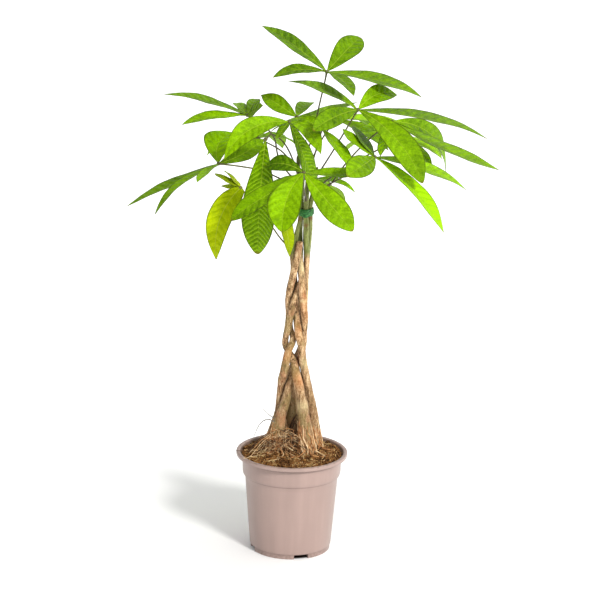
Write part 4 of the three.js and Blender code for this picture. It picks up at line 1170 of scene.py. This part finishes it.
class MONEYTREE_OT_stage(bpy.types.Operator):
    """Sets the floor, the lights and the camera"""
    bl_idname = "moneytree.stage"
    bl_label = "Stage"

    def execute(self, context):
        scene, settings = context.scene, context.scene.money_tree_stage
        floor_mesh = bpy.data.meshes.new("floor")
        corners = [(x * FLOOR_REACH, y * FLOOR_REACH, 0) for x, y in ((-1, -1), (1, -1), (1, 1), (-1, 1))]
        floor_mesh.from_pydata(corners, [], [(0, 1, 2, 3)])
        floor = bpy.data.objects.new("floor", floor_mesh)
        scene.collection.objects.link(floor)
        floor_mesh.materials.append(floor_finish(settings))
        lights = (
            ("key", "SUN", (1.8, -2.8, 2.7), settings.key_size, settings.key_strength, (1.0, 0.99, 0.96)),
            ("fill", "AREA", (-1.6, -2.6, 1.2), 1.6, settings.fill_power, (0.97, 0.985, 1.0)),
            ("edge", "AREA", (-2.4, -0.5, 0.5), 0.5, settings.edge_power, (1.0, 1.0, 1.0)),
        )
        for name, kind, place, size, power, colour in lights:
            data = bpy.data.lights.new(name, kind)
            data.energy, data.color = power, colour
            if kind == "SUN":
                data.angle = size
            else:
                data.size = size
            lamp = bpy.data.objects.new(name, data)
            lamp.location = place
            aim = np.array(LAMP_AIM) - np.array(place)
            slope = np.arccos(-aim[2] / np.linalg.norm(aim))
            lamp.rotation_euler = (slope, 0, np.arctan2(aim[1], aim[0]) - np.pi / 2)
            scene.collection.objects.link(lamp)
        scene.world = surroundings(settings)
        scene.view_settings.view_transform = "Standard"
        camera_data = bpy.data.cameras.new("camera")
        camera_data.lens, camera_data.sensor_width = CAMERA_LENS, CAMERA_SENSOR
        camera_data.clip_start, camera_data.clip_end = 0.1, 100
        camera = bpy.data.objects.new("camera", camera_data)
        camera.location = CAMERA_PLACE
        camera.rotation_mode = "QUATERNION"
        pitch, lean = CAMERA_PITCH / 2, CAMERA_LEAN / 2
        camera.rotation_quaternion = (np.cos(pitch) * np.cos(lean), np.sin(pitch) * np.cos(lean),
                                      -np.sin(pitch) * np.sin(lean), np.cos(pitch) * np.sin(lean))
        scene.collection.objects.link(camera)
        scene.camera = camera
        return {"FINISHED"}


OPERATORS = (MONEYTREE_OT_pot, MONEYTREE_OT_compost, MONEYTREE_OT_stems, MONEYTREE_OT_roots, MONEYTREE_OT_tie,
             MONEYTREE_OT_leaves, MONEYTREE_OT_stage)
SETTINGS = {"money_tree_leaf": LeafSettings, "money_tree_stem": StemSettings, "money_tree_pot": PotSettings,
            "money_tree_compost": CompostSettings, "money_tree_stage": StageSettings}


class MONEYTREE_PT_panel(bpy.types.Panel):
    """Lists the tree's pieces and their settings"""
    bl_idname = "MONEYTREE_PT_panel"
    bl_label = "Potted money tree"
    bl_space_type = "VIEW_3D"
    bl_region_type = "UI"
    bl_category = "Money tree"

    def draw(self, context):
        for key, group in SETTINGS.items():
            box = self.layout.box()
            for name in group.__annotations__:
                box.prop(getattr(context.scene, key), name)
        for operator in OPERATORS:
            self.layout.operator(operator.bl_idname)


def register():
    for group in SETTINGS.values():
        bpy.utils.register_class(group)
    for key, group in SETTINGS.items():
        setattr(bpy.types.Scene, key, PointerProperty(type=group))
    for operator in OPERATORS:
        bpy.utils.register_class(operator)
    bpy.utils.register_class(MONEYTREE_PT_panel)


def unregister():
    bpy.utils.unregister_class(MONEYTREE_PT_panel)
    for operator in reversed(OPERATORS):
        bpy.utils.unregister_class(operator)
    for key, group in SETTINGS.items():
        delattr(bpy.types.Scene, key)
        bpy.utils.unregister_class(group)


def main():
    """Builds the whole scene."""
    register()
    bpy.ops.moneytree.pot()
    bpy.ops.moneytree.compost()
    bpy.ops.moneytree.stems()
    bpy.ops.moneytree.roots()
    bpy.ops.moneytree.tie()
    bpy.ops.moneytree.leaves()
    bpy.ops.moneytree.stage()


if __name__ == "__main__":
    main()
